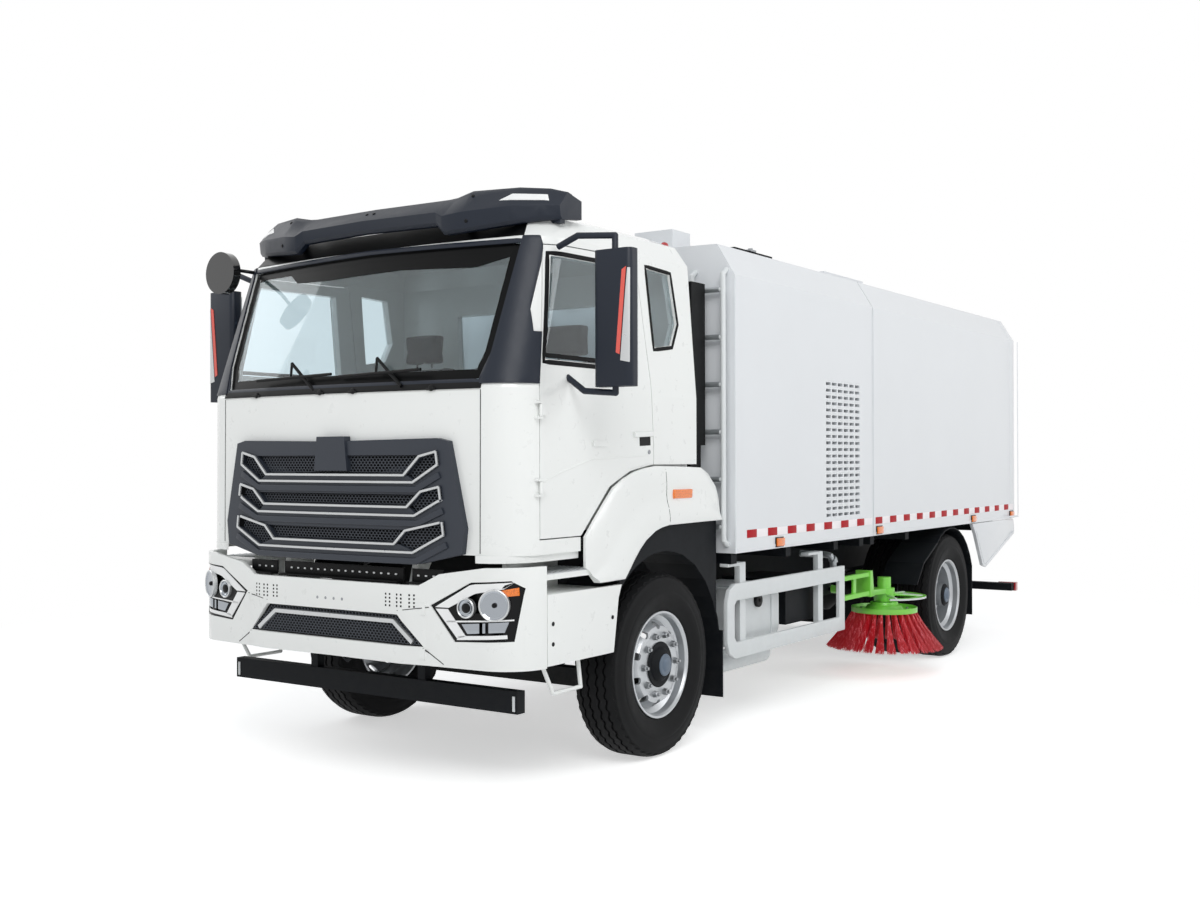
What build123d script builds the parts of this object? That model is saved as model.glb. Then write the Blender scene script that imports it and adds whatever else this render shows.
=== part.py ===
from build123d import *
import math
import os

os.makedirs("parts", exist_ok=True)

# Street sweeper truck on a two-axle chassis. Millimetres. +Z up, the truck faces -Y,
# the driver's (left) side is +X. Places are measured from the front axle along Y and
# from the ground along Z; one shift at the end puts the middle of the length at Y = 0.

# Main sizes
wheelbase = 4500
nose_y = -1435
tail_y = 6405
middle_y = (nose_y + tail_y) / 2
axle_z = 515
side_x = 1250
cab_x = 1150
fender_x = 1200
rail_x = 430
rail_low = 730
rail_top = 990
body_low = 1100
body_front = 670
body_split = 2780
body_rear = 6060
gate_rear = 6200
shoulder_z = 2775
roof_side_x = 1130
roof_side_z = 2970
roof_mid_z = 2992
pin_gap = 0.05


# Shape helpers
def box(x0, x1, y0, y1, z0, z1):
    return Pos((x0 + x1) / 2, (y0 + y1) / 2, (z0 + z1) / 2) * Box(abs(x1 - x0), abs(y1 - y0), abs(z1 - z0))


def polygon(points):
    return Face(Wire.make_polygon([Vector(*p) for p in points], close=True))


def prism_x(points, x0, x1):
    return Solid.extrude(polygon([(x0, y, z) for y, z in points]), Vector(x1 - x0, 0, 0))


def prism_y(points, y0, y1):
    return Solid.extrude(polygon([(x, y0, z) for x, z in points]), Vector(0, y1 - y0, 0))


def prism_z(points, z0, z1):
    return Solid.extrude(polygon([(x, y, z0) for x, y in points]), Vector(0, 0, z1 - z0))


def rod(p, q, r):
    p, q = Vector(*p), Vector(*q)
    return Solid.make_cylinder(r, (q - p).length, Plane(origin=p, z_dir=(q - p).normalized()))


def pipe(points, r):
    shape = rod(points[0], points[1], r)
    for a, b in zip(points[1:], points[2:]):
        shape = shape + Pos(*a) * Sphere(r) + rod(a, b, r)
    return shape


def turn_x(profile, x, y, z):
    face = polygon([(dx, 0, r) for dx, r in profile])
    return Pos(x, y, z) * revolve(face, Axis.X, 360)


def turn_z(profile, x, y, z):
    face = polygon([(r, 0, dz) for r, dz in profile])
    return Pos(x, y, z) * revolve(face, Axis.Z, 360)


def other_side(shape):
    return mirror(shape, about=Plane.YZ)


def both(shape):
    return shape + other_side(shape)


def join(shapes):
    total = shapes[0]
    for s in shapes[1:]:
        total = total + s
    return total


def put(shape, name):
    solids = (Pos(0, -middle_y, 0) * shape).solids()
    print(name, len(solids), flush=True)
    export_step(Compound(list(solids)) if len(solids) > 1 else solids[0], "parts/" + name + ".step")


# Chassis frame: two channel rails, tubes across, horns for the bumper
frame_front = -1080
frame_rear = 6120
rail_web = 8
rail_flange = 75
horn_y = -1330
cross_tubes = [
    {"y": -1040, "r": 55},
    {"y": 1340, "r": 50},
    {"y": 2100, "r": 50},
    {"y": 3050, "r": 50},
    {"y": 3750, "r": 50},
    {"y": 5150, "r": 50},
]
rail = box(rail_x - rail_flange, rail_x, frame_front, frame_rear, rail_low, rail_top)
rail = rail - box(0, rail_x - rail_web, frame_front - 1, frame_rear + 1, rail_low + rail_web,
        rail_top - rail_web)
horn = box(rail_x - 70, rail_x, horn_y, frame_front, rail_low + 40, rail_top - 60)
rails = both(rail + horn)
rail_mid = rail_top - 85
for row in cross_tubes:
    rails = rails + rod((-rail_x + 1, row["y"], rail_mid), (rail_x - 1, row["y"], rail_mid), row["r"])
rails = rails + box(-rail_x, rail_x, frame_rear - 30, frame_rear + 10, rail_low, rail_top)
horn_top = rail_top - 60
cab_pivot_y = -1300
cab_pivot_z = 1000
cab_pin_r = 18
pivot_in = 444
pivot_out = 490
pivot = box(rail_x - 30, pivot_in, cab_pivot_y - 30, cab_pivot_y + 60, horn_top, cab_pivot_z)
pivot = pivot + rod((rail_x - 30, cab_pivot_y, cab_pivot_z), (pivot_in, cab_pivot_y, cab_pivot_z), 34)
pivot = pivot + rod((pivot_in, cab_pivot_y, cab_pivot_z), (pivot_out, cab_pivot_y, cab_pivot_z), cab_pin_r)
swing_x = 880
swing_y = 2440
swing_z = 720
swing_pin_r = 18
swing_half = 44
jaw = 30
jaw_half = 60
swing_low = swing_z - swing_half - 6
swing_high = swing_z + swing_half + 6
jaw_back = swing_x - 80
bracket = box(rail_x, jaw_back, swing_y - jaw_half, swing_y + jaw_half, swing_z - 20, swing_high + jaw)
bracket = bracket + box(jaw_back - 10, swing_x + jaw_half, swing_y - jaw_half, swing_y + jaw_half,
        swing_low - jaw, swing_low)
bracket = bracket + box(jaw_back - 10, swing_x + jaw_half, swing_y - jaw_half, swing_y + jaw_half,
        swing_high, swing_high + jaw)
bracket = bracket + box(jaw_back - 10, jaw_back + 15, swing_y - jaw_half, swing_y + jaw_half,
        swing_low - jaw, swing_high + jaw)
bracket = bracket + rod((swing_x, swing_y, swing_low), (swing_x, swing_y, swing_high), swing_pin_r)
stack_shelf = box(380, rail_x, 470, 550, rail_top, 1200) + box(380, 700, 470, 550, 1200, 1260)
rails = rails + both(pivot + bracket) + stack_shelf
put(rails, "chassis_frame")

# Frame under the body, with cross beams and the rear hinge brackets of the hopper
hopper_pin_y = 6165
hopper_pin_z = 1055
hopper_pin_r = 20
beams = [
    {"y": 760, "half": side_x - 60, "top": body_low},
    {"y": 1500, "half": side_x - 60, "top": body_low},
    {"y": 2250, "half": side_x - 60, "top": body_low},
    {"y": 2700, "half": side_x - 60, "top": body_low},
    {"y": 2900, "half": side_x - 60, "top": body_low - 6},
    {"y": 3600, "half": side_x - 60, "top": body_low - 6},
    {"y": 4300, "half": 925, "top": body_low - 6},
    {"y": 5150, "half": side_x - 60, "top": body_low - 6},
    {"y": 5700, "half": side_x - 60, "top": body_low - 6},
    {"y": 6000, "half": 600, "top": body_low - 6},
]
sub = both(box(rail_x - 75, rail_x, body_front + 20, frame_rear, rail_top, body_low - 6))
for row in beams:
    sub = sub + box(-row["half"], row["half"], row["y"] - 35, row["y"] + 35, rail_top + 40, row["top"])
hinge_eye = box(560, 600, 6020, hopper_pin_y, rail_top + 40, body_low - 20) + rod((560, hopper_pin_y,
        hopper_pin_z), (600, hopper_pin_y, hopper_pin_z), 35)
hinge_pin = rod((600, hopper_pin_y, hopper_pin_z), (660, hopper_pin_y, hopper_pin_z), hopper_pin_r)
sub = sub + both(hinge_eye + hinge_pin)
put(sub, "sub_frame")

# Front axle beam with king pin eyes, and its leaf springs
king_x = 880
king_r = 22
eye_r = 42
beam_line = [(-840, 460), (-840, 570), (-790, 570), (-600, 450), (600, 450), (790, 570), (840, 570), (840,
        460), (780, 460), (620, 345), (-620, 345), (-780, 460)]
axle = prism_y(beam_line, -45, 45)
king_eye = rod((king_x, 0, 446), (king_x, 0, 584), eye_r)
axle = axle + both(king_eye)
axle = axle - both(rod((king_x, 0, 400), (king_x, 0, 620), king_r + pin_gap))
put(axle, "front_axle")


def leaf_pack(y, low, top, half, drop):
    leaves = []
    for i in range(4):
        reach = half * (1 - 0.2 * i)
        z = top - i * (top - low) / 4
        leaf = prism_x([(y - reach, z), (y, z - drop), (y + reach, z), (y + reach, z - 16), (y,
                z - drop - 22), (y - reach, z - 16)], 365, 425)
        leaves.append(leaf)
    return join(leaves)


front_spring = leaf_pack(0, 560, 640, 720, 60)
front_spring = front_spring + box(360, 430, -60, 60, 450, 600)
front_spring = front_spring + box(385, 405, -720, -660, 620, rail_low) + box(385, 405, 660, 720, 620,
        rail_low)
rear_spring = leaf_pack(wheelbase, 600, 690, 800, 0)
rear_spring = rear_spring + box(360, 430, wheelbase - 60, wheelbase + 60, 590, 640)
rear_spring = rear_spring + box(385, 405, wheelbase - 800, wheelbase - 740, 680, rail_low) + box(385, 405,
        wheelbase + 740, wheelbase + 800, 680, rail_low)
put(both(front_spring + rear_spring), "leaf_springs")

# Rear axle: banjo, tubes and stub ends that carry the twin wheels
stub_r = 45
banjo = turn_x([(-240, 0), (-240, 75), (-110, 190), (110, 190), (240, 75), (240, 0)], 0, wheelbase, axle_z)
casing = banjo + rod((-620, wheelbase, axle_z), (620, wheelbase, axle_z), 75)
casing = casing + rod((-1150, wheelbase, axle_z), (1150, wheelbase, axle_z), stub_r)
casing = casing + rod((0, wheelbase - 330, axle_z + 40), (0, wheelbase - 150, axle_z + 20), 80)

# Engine and gearbox block under the cab, prop shaft to the rear axle
engine = box(-300, 300, -560, 640, 560, 1230)
engine = engine + box(-345, 345, -420, 500, 1010, 1180)
engine = engine + box(-200, 200, 640, 1250, 600, 960)
engine = engine + both(box(300, 347, 380, 460, 760, 960))
aux = box(-450, 450, 1150, 2500, body_low + 30, 1900)
put(engine + aux, "engine_blocks")
shaft = rod((0, 1250, 780), (0, wheelbase - 330, axle_z + 40), 45) - box(-200, 200, 640, 1250, 600, 960)
put(casing + shaft, "rear_axle")


# Wheels: tyre and rim turned about X; the front dish stands out, the rear dish sits deep
tyre_r = axle_z
tyre_half = 143
bead_r = 286
flange_r = 298
rim_half = 118
front_wheel_x = 1020
rear_outer_x = 1080
rear_inner_x = 750
tyre_profile = [(-108, bead_r), (-108, flange_r), (-124, 325), (-tyre_half, 400), (-138, 450), (-126,
        490), (-104, 509), (-60, tyre_r),
                (60, tyre_r), (104, 509), (126, 490), (138, 450), (tyre_half, 400), (124, 325), (108,
                        flange_r), (108, bead_r)]


def tyre(x, y):
    return turn_x(tyre_profile, x, y, axle_z)


def barrel():
    outer = [(-rim_half, flange_r), (-108, flange_r), (-108, bead_r), (-70, bead_r), (-55, 256), (40,
            256), (60, bead_r), (108, bead_r), (108, flange_r), (rim_half, flange_r)]
    inner = [(rim_half, 286), (106, 278), (66, 276), (46, 246), (-61, 246), (-76, 276), (-106, 278),
            (-rim_half, 286)]
    return outer + inner


hand_hole_count = 10
nut_count = 10
nut_circle_r = 168
spindle_r = 34


def holes_round(radius, hole_r, count, x0, x1, y):
    cuts = []
    for i in range(count):
        a = 2 * math.pi * (i + 0.5) / count
        cuts.append(rod((x0, y + radius * math.cos(a), axle_z + radius * math.sin(a)), (x1,
                y + radius * math.cos(a), axle_z + radius * math.sin(a)), hole_r))
    return join(cuts)


def front_rim(side):
    x = front_wheel_x
    rim = turn_x(barrel(), x, 0, axle_z)
    rim = rim + turn_x([(28, 250), (38, 250), (98, 214), (104, 190), (104, 112), (92, 112), (92, 186),
            (86, 206), (28, 236)], x, 0, axle_z)
    rim = rim + turn_x([(-45, 0), (-45, 80), (60, 80), (60, 115), (92, 130), (104, 130), (112, 96), (120,
            92), (140, 70), (140, 0)], x, 0, axle_z)
    rim = rim - rod((x - 46, 0, axle_z), (x + 90, 0, axle_z), spindle_r + pin_gap)
    rim = rim - holes_round(218, 21, hand_hole_count, x + 20, x + 130, 0)
    for i in range(nut_count):
        a = 2 * math.pi * i / nut_count
        c = (nut_circle_r * math.cos(a), axle_z + nut_circle_r * math.sin(a))
        rim = rim + rod((x + 100, c[0], c[1]), (x + 128, c[0], c[1]), 15)
    return rim if side > 0 else other_side(rim)


def rear_rim(side):
    x = rear_outer_x
    y = wheelbase
    mid = (rear_outer_x + rear_inner_x) / 2
    rim = turn_x(barrel(), rear_outer_x, y, axle_z) + turn_x(barrel(), rear_inner_x, y, axle_z)
    rim = rim + turn_x([(mid - 6, 112), (mid - 6, 200), (rear_outer_x - 80, 246), (rear_outer_x - 60,
            252), (rear_outer_x - 48, 248), (mid + 10, 192), (mid + 10, 112)], 0, y, axle_z)
    rim = rim + turn_x([(mid - 18, 112), (mid - 18, 192), (rear_inner_x + 44, 248), (rear_inner_x + 56,
            252), (mid - 60, 240), (mid - 6, 200), (mid - 6, 112)], 0, y, axle_z)
    rim = rim + turn_x([(640, 0), (640, 105), (mid - 18, 118), (mid + 10, 118), (mid + 10, 100),
            (rear_outer_x + 90, 92), (rear_outer_x + 105, 78), (rear_outer_x + 105, 0)], 0, y, axle_z)
    rim = rim - rod((600, y, axle_z), (1151, y, axle_z), stub_r + pin_gap)
    rim = rim - holes_round(212, 16, hand_hole_count, mid - 60, rear_outer_x - 20, y)
    for i in range(nut_count):
        a = 2 * math.pi * i / nut_count
        c = (y + nut_circle_r * math.cos(a), axle_z + nut_circle_r * math.sin(a))
        rim = rim + rod((mid + 5, c[0], c[1]), (mid + 40, c[0], c[1]), 15)
    return rim if side > 0 else other_side(rim)


for side, word in ((1, "left"), (-1, "right")):
    put(tyre(side * front_wheel_x, 0), "tyre_front_" + word)
    put(front_rim(side), "rim_front_" + word)
    put(tyre(side * rear_outer_x, wheelbase) + tyre(side * rear_inner_x, wheelbase), "tyres_rear_" + word)
    put(rear_rim(side), "rim_rear_" + word)

# Steering knuckles: king pin, ears above and below the axle eye, spindle and arm
knuckle = box(927, 968, -62, 62, 380, 650)
knuckle = knuckle + box(840, 968, -42, 42, 592, 650) + box(840, 968, -42, 42, 380, 438)
knuckle = knuckle + rod((king_x, 0, 438), (king_x, 0, 592), king_r)
knuckle = knuckle + rod((968, 0, axle_z), (1105, 0, axle_z), spindle_r)
knuckle = knuckle + box(850, 900, -200, -40, 392, 430)
put(knuckle, "knuckle_left")
put(other_side(knuckle), "knuckle_right")

# Front bumper: plan outline with round corners, cut to its front outline, lamp pockets
bumper_low = 655
bumper_mid_top = 1045
bumper_corner_top = 1150
bumper_wall = 25
bumper_rear = -1135


def bumper_plan(inset):
    x = fender_x - 15 - inset
    y = nose_y + inset
    r = 236 - inset
    pts = [(0, y), (500, y), (640, y + 28), (x - r, y + 62)]
    cy = y + 62 + r
    for i in range(1, 9):
        a = math.pi / 2 * i / 8
        pts.append((x - r + r * math.sin(a), cy - r * math.cos(a)))
    return pts


def bumper_block(inset, z0, z1):
    half = bumper_plan(inset)
    half.append((half[-1][0], bumper_rear + (0 if inset == 0 else 200)))
    outline = half + [(-px, py) for px, py in reversed(half[1:])]
    return prism_z(outline, z0, z1)


front_outline = [(0, bumper_low), (1300, bumper_low - 8), (1300, bumper_corner_top), (980,
        bumper_corner_top - 6), (720, 1105), (600, bumper_mid_top), (0, bumper_mid_top)]
front_outline = front_outline + [(-px, pz) for px, pz in reversed(front_outline[1:-1])]
lamp_outline = [(668, 950), (905, 1072), (1105, 1084), (1150, 1048), (1116, 792), (810, 778)]
intake_outline = [(0, 895), (474, 895), (628, 742), (0, 742)]
intake_outline = intake_outline + [(-px, pz) for px, pz in reversed(intake_outline[1:-1])]
bumper = bumper_block(0, 600, 1200) - bumper_block(bumper_wall, 590, 1210)
bumper = bumper & prism_y(front_outline, nose_y - 10, bumper_rear + 10)
bumper = bumper - prism_y(intake_outline, nose_y - 10, -1300)
bumper = bumper - both(prism_y(lamp_outline, nose_y - 10, -1150))
bumper = bumper + box(-640, 640, horn_y - 45, horn_y, 900, 960)
bumper = bumper + both(box(560, 640, nose_y + 20, horn_y, 900, 960))
bumper = bumper + box(-640, 640, horn_y - 45, horn_y, 680, 740) + both(box(560, 640, nose_y + 20, horn_y,
        680, 735))
bumper = bumper + both(box(360, 430, horn_y - 45, horn_y, 740, 900))
ledge = (bumper_block(bumper_wall, 1080, 1105) & both(box(720, 1300, nose_y, bumper_rear, 1070, 1110)))
bumper = bumper + ledge
put(bumper, "front_bumper")

lamp = prism_y(lamp_outline, nose_y - 10, -1150) & bumper_block(6, 700, 1150)
lamp = lamp - bumper_block(120, 650, 1200)
lamps = [
    {"x": 935, "z": 985, "r": 62},
    {"x": 1050, "z": 975, "r": 50},
    {"x": 960, "z": 850, "r": 36},
    {"x": 1040, "z": 846, "r": 30},
]
for row in lamps:
    lamp = lamp - rod((row["x"], nose_y - 20, row["z"]), (row["x"],
            -1340 + (60 if row["x"] > 1000 else 0), row["z"]), row["r"])
tail_lamp = box(1050, 1215, 6340, tail_y, 395, 475)
put(both((lamp - bumper) + tail_lamp), "lamps")

# Black mesh behind the lower intake and the slotted shelf above the bumper
mesh = prism_y([(-640, 735), (640, 735), (480, 898), (-480, 898)], horn_y - 75, horn_y - 45)
shelf = box(-rail_x + 5, rail_x - 5, horn_y - 45, horn_y - 25, 960, 1040)
put((mesh + shelf) - bumper, "bumper_mesh")

# Underrun bar below the bumper, hung on two brackets from the frame horns
bar_front = -1173
bar = prism_y([(-1031, 412), (-1031, 524), (1031, 524), (1031, 412)], bar_front, bar_front + 60)
bar = bar + both(box(370, 420, bar_front + 5, bar_front + 55, 524, rail_low + 40))
bar = bar + both(box(370, 420, bar_front + 5, frame_front + 60, rail_low - 60, rail_low))
tail_bar = box(-1200, 1200, 6260, 6340, 400, 470)
tail_bar = tail_bar + both(box(380, 430, 6130, 6260, 400, 470) + box(380, 430, 6130, 6180, 470, rail_top))
put(bar + tail_bar, "underrun_bars")

# Steps ahead of the front wheels, with the lower panel and two treads
step_rear = -560
step_front = -1128
panel_wall = 30
arch_edge = [(0, 1299), (-142, 1273), (-241, 1226), (-357, 1129), (-484, 966), (-545, 666)]
step_panel = prism_x([(step_front, 655), (-548, 655), (-500, 940), (-470, 1005), (step_front, 1005)],
        fender_x - 15 - panel_wall, fender_x - 15)
step_box = box(900, fender_x - 15 - panel_wall, step_front, -640, 985, 1005)
step_box = step_box + box(900, 925, step_front, -640, 700, 1005)
low_tread = box(925, fender_x - 15 - panel_wall, step_front, -680, 685, 710)
high_tread = box(900, fender_x - 30, step_front, -690, 1075, 1105)
high_post = box(900, 925, step_front, -690, 1005, 1200)
arm = box(rail_x, 900, -1000, -940, 760, 840)
step = step_panel + step_box + low_tread + high_post + high_tread + arm
loop = pipe([(1120, -1110, 685), (1120, -1000, 500), (1120, -760, 500), (1120, -790, 685)], 11)
put(both(step + loop), "steps")

# Front wheel arches: white outer panel, black liner and flap behind it
fender_line = [(-785, 1110), (-785, 1268), (-525, 1512), (-330, 1590), (-110, 1624), (391, 1612), (520,
        1556), (590, 1440),
               (600, 1304), (0, 1299), (-142, 1273), (-241, 1226), (-357, 1129), (-440, 1030), (-690,
                       1030), (-690, 1110)]
fender_in = cab_x + 6
fender_lip = 14
lip_line = [(600, 1304), (0, 1299), (-142, 1273), (-241, 1226), (-357, 1129), (-440, 1030), (-470, 1030),
            (-395, 1144), (-262, 1254), (-150, 1303), (0, 1331), (600, 1338)]
fender = prism_x(fender_line, fender_in, fender_x - fender_lip) + prism_x(lip_line,
        fender_x - fender_lip - 1, fender_x)
liner_r = 640


def arch_ring(y, r, wall, a0, a1, x0, x1, count):
    outer = []
    inner = []
    for i in range(count + 1):
        a = math.radians(a0 + (a1 - a0) * i / count)
        outer.append((y + (r + wall) * math.cos(a), axle_z + (r + wall) * math.sin(a)))
        inner.append((y + r * math.cos(a), axle_z + r * math.sin(a)))
    return prism_x(outer + inner[::-1], x0, x1)


liner = arch_ring(0, liner_r, 10, 5, 135, 800, fender_in, 10)
flange_line = [(600, 620), (600, 1310), (0, 1305), (-146, 1279), (-245, 1232), (-361, 1135), (-446, 1032),
        (-452, 968)]
for i in range(9):
    a = math.radians(132 - i * 15)
    flange_line.append((liner_r * math.cos(a), axle_z + liner_r * math.sin(a)))
liner = liner + prism_x(flange_line, fender_in - 12, fender_in)
flap = box(860, 1180, 628, 640, 240, 640)
liner_arm = box(rail_x, 812, 505, 535, 880, 905)
put(both(fender), "front_fenders")
put(both(liner + flap + liner_arm), "arch_liners")

# Cab: a lofted box with a bowed front, hollow, cut where real panels meet
cab_wall = 55
pillar_cover = 8
cab_floor_z = 1200
cab_deck_z = 1300
deck_front = -790
sections = [
    {"z": 1200, "half": cab_x, "front": -1340, "bow": 45, "corner": 230, "rear": 380},
    {"z": 2020, "half": cab_x, "front": -1335, "bow": 50, "corner": 230, "rear": 380},
    {"z": 2790, "half": 1118, "front": -1070, "bow": 60, "corner": 210, "rear": 335},
    {"z": 2900, "half": 1060, "front": -985, "bow": 55, "corner": 200, "rear": 290},
    {"z": 2955, "half": 920, "front": -860, "bow": 45, "corner": 180, "rear": 180},
]


def cab_wire(row, inset, z):
    w = row["half"] - inset
    yf = row["front"] + inset
    r = row["corner"] - inset * 0.6
    yr = row["rear"] - inset
    k = r * (1 - math.sqrt(0.5))
    a = Vector(-w + r, yf, z)
    b = Vector(w - r, yf, z)
    edges = [Edge.make_three_point_arc(a, Vector(0, yf - row["bow"], z), b)]
    edges.append(Edge.make_three_point_arc(b, Vector(w - k, yf + k, z), Vector(w, yf + r, z)))
    edges.append(Edge.make_line(Vector(w, yf + r, z), Vector(w, yr, z)))
    edges.append(Edge.make_line(Vector(w, yr, z), Vector(-w, yr, z)))
    edges.append(Edge.make_line(Vector(-w, yr, z), Vector(-w, yf + r, z)))
    edges.append(Edge.make_three_point_arc(Vector(-w, yf + r, z), Vector(-w + k, yf + k, z), a))
    return Wire(edges)


def cab_solid(inset, low, high):
    wires = []
    for row in sections:
        z = row["z"]
        z = low if z == sections[0]["z"] else z
        z = min(z, high) if row is sections[-1] else z
        wires.append(cab_wire(row, inset, z))
    return Solid.make_loft(wires, True)


def grow(points, d):
    n = len(points)
    area = sum(points[i][0] * points[(i + 1) % n][1] - points[(i + 1) % n][0] * points[i][1] for i in range(n))
    s = 1 if area > 0 else -1
    out = []
    for i in range(n):
        p0, p1, p2 = points[i - 1], points[i], points[(i + 1) % n]
        u = Vector(p1[0] - p0[0], p1[1] - p0[1], 0).normalized()
        v = Vector(p2[0] - p1[0], p2[1] - p1[1], 0).normalized()
        nu = Vector(u.Y, -u.X, 0) * s
        nv = Vector(v.Y, -v.X, 0) * s
        m = nu + nv
        m = m * (2 * d / m.dot(m))
        out.append((p1[0] + m.X, p1[1] + m.Y))
    return out


door_gap = 6
door_line = [(-1138, 1278), (-1138, 2050), (-1010, 2745), (-235, 2765), (-118, 2072), (-96, 1742), (-96,
        1600), (-600, 1278)]
door_window = [(-1085, 2165), (-985, 2690), (-345, 2700), (-270, 2165)]
quarter_window = [(-118, 2725), (125, 2715), (185, 2440), (120, 2316), (-60, 2290), (-75, 2400)]
screen_line = [(0, 2062), (915, 2062), (955, 2200), (985, 2760), (0, 2775)]
screen_line = screen_line + [(-px, pz) for px, pz in reversed(screen_line[1:-1])]
rear_window = [(-600, 2100), (600, 2100), (600, 2600), (-600, 2600)]
panel_line = [(-930, cab_floor_z - 1), (930, cab_floor_z - 1), (930, 2012), (-930, 2012)]

panel_back = -1275
fender_gap = 14
outer = cab_solid(0, cab_floor_z, 2955)
inner = cab_solid(cab_wall, cab_floor_z + 55, 2900)
walls = outer - inner
cab = walls - prism_x(grow(door_line, door_gap), 900, 1300) - prism_x(grow(door_line, door_gap), -1300,
        -900)
cab = cab - prism_y(panel_line, -1600, panel_back)
cab = cab - prism_y(screen_line, -1600, -900)
cab = cab - prism_y(rear_window, 200, 500)
cab = cab - prism_x(quarter_window, 900, 1300) - prism_x(quarter_window, -1300, -900)
cab = cab - box(-1300, 1300, deck_front, 600, 1000, cab_deck_z)
cab_over_fender = grow(fender_line[1:5] + [(391, 1624), (391, 1000), (-785, 1000)], fender_gap)
cab = cab - both(prism_x(cab_over_fender, 1085, 1300))
cab = cab + box(-1085, 1085, deck_front, 320, cab_deck_z, cab_deck_z + 50)
cab = cab + box(-1085, 1085, deck_front - 20, deck_front, cab_floor_z, cab_deck_z + 50)
cab = cab + both(box(1067, 1085, deck_front, 320, cab_deck_z, 1640))
lug_in = pivot_in + 2
lug_out = pivot_out - 6
lug_line = [(cab_pivot_y - 26, cab_pivot_z), (panel_back + 6, cab_floor_z + 10), (panel_back + 130,
        cab_floor_z + 10), (cab_pivot_y + 30, cab_pivot_z)]
cab_lug = prism_x(lug_line, lug_in, lug_out)
cab_lug = cab_lug + rod((lug_in, cab_pivot_y, cab_pivot_z), (lug_out, cab_pivot_y, cab_pivot_z), 32)
cab_lug = cab_lug - rod((lug_in - 5, cab_pivot_y, cab_pivot_z), (lug_out + 5, cab_pivot_y, cab_pivot_z),
        cab_pin_r + pin_gap)
cab = cab + both(cab_lug)
hinge_x = 1160
hinge_y = -1146
hinge_zs = [1500, 1880]
hinge_r = 4
for z in hinge_zs:
    cab = cab + both(box(1140, 1168, hinge_y - 30, hinge_y + 6, z - 14, z - 2) + box(1140, 1168,
            hinge_y - 30, hinge_y + 6, z + 62, z + 74))
    cab = cab + both(rod((hinge_x, hinge_y, z - 10), (hinge_x, hinge_y, z + 70), hinge_r))
cab = cab.solids().sort_by(SortBy.VOLUME)[-1]
put(cab, "cab_shell")

front_panel = walls & prism_y(panel_line, -1600, panel_back)
put(front_panel, "front_panel")

glass_skin = cab_solid(14, cab_floor_z, 2940) - cab_solid(20, cab_floor_z - 5, 2934)
glass = [
    glass_skin & prism_y(screen_line, -1600, -900),
    glass_skin & prism_y(rear_window, 200, 500),
    glass_skin & prism_x(quarter_window, 900, 1300),
    glass_skin & prism_x(quarter_window, -1300, -900),
]
put(join(glass), "cab_glass")

# Grille frame on the front panel: three recessed openings with bars between
grille_line = [(0, 1150), (600, 1150), (850, 1205), (865, 1330), (770, 1760), (700, 1775), (0, 1765)]
grille_line = grille_line + [(-px, pz) for px, pz in reversed(grille_line[1:-1])]
grille_rows = [
    {"inner": [(503, 1597), (601, 1691), (708, 1715)], "outer": [(562, 1562), (717, 1651)],
            "mesh_top": (590, 1691)},
    {"inner": [(522, 1438), (611, 1516), (726, 1541)], "outer": [(571, 1396), (736, 1478)],
            "mesh_top": (572, 1494)},
    {"inner": [(440, 1251), (512, 1320), (745, 1368)], "outer": [(561, 1212), (754, 1305)],
            "mesh_top": (496, 1318)},
]
trim_high = 12


def front_skin(deep, out, low, high):
    row = dict(sections[0])
    row["front"] = row["front"] - out
    row["rear"] = 0
    near = Solid.extrude(Face(cab_wire(row, 0, low)), Vector(0, 0, high - low))
    row["front"] = row["front"] + deep
    far = Solid.extrude(Face(cab_wire(row, 0, low - 1)), Vector(0, 0, high - low + 2))
    return near - (far - box(-2000, 2000, -500, 600, 0, 4000)) - box(-2000, 2000, -1200, 600, 0, 4000)


grille_body = front_skin(34, 34, 1140, 1790) - outer
grille = grille_body & prism_y(grille_line, -1600, -1250)
trims = []
for row in grille_rows:
    wing = row["inner"] + row["outer"][::-1]
    low_x, low_z = row["inner"][0]
    top_x, top_z = row["mesh_top"]
    middle = [(-low_x, low_z + 3), (low_x, low_z + 3), (top_x, top_z), (-top_x, top_z)]
    grille = grille - both(prism_y(wing, -1600, -1250)) - prism_y(middle, -1600, -1250)
    for edge in (row["inner"], row["outer"]):
        line = [(-px, pz) for px, pz in reversed(edge)] + edge
        under = [(px, pz - trim_high) for px, pz in line]
        strip = prism_y(line + under[::-1], -1600, -1250)
        trims.append((front_skin(46, 46, 1140, 1790) - outer) & strip)
centre_block = (front_skin(46, 46, 1600, 1800) - outer) & prism_y([(-120, 1612), (120, 1612), (100, 1790),
        (-100, 1790)], -1600, -1250)
backing = (front_skin(10, 10, 1140, 1790) - outer) & prism_y(grille_line, -1600, -1250)
put(grille + join(trims) + centre_block + backing, "grille")

# Doors with window, glass, mirror and hinge barrels
mirror_x0 = 1333
mirror_x1 = 1555
mirror_y0 = -950
mirror_y1 = -865
door = walls & prism_x(door_line, 900, 1300)
door = door - prism_x(door_window, 900, 1300) - prism_x(cab_over_fender, 900, 1300)
barrels = join([rod((hinge_x, hinge_y, z), (hinge_x, hinge_y, z + 60), 9) for z in hinge_zs])
barrels = barrels + join([box(1140, hinge_x, -1136, -1110, z + 5, z + 55) + box(1152, hinge_x + 6,
        hinge_y, -1110, z + 5, z + 55) for z in hinge_zs])
door = door + barrels
door = door - join([rod((hinge_x, hinge_y, z - 20), (hinge_x, hinge_y, z + 80),
        hinge_r + pin_gap) for z in hinge_zs])
door = door + box(1120, 1162, -690, -560, 1735, 1765)
put(door, "door_left")
put(other_side(door), "door_right")
door_glass = glass_skin & prism_x(door_window, 900, 1300)
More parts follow.
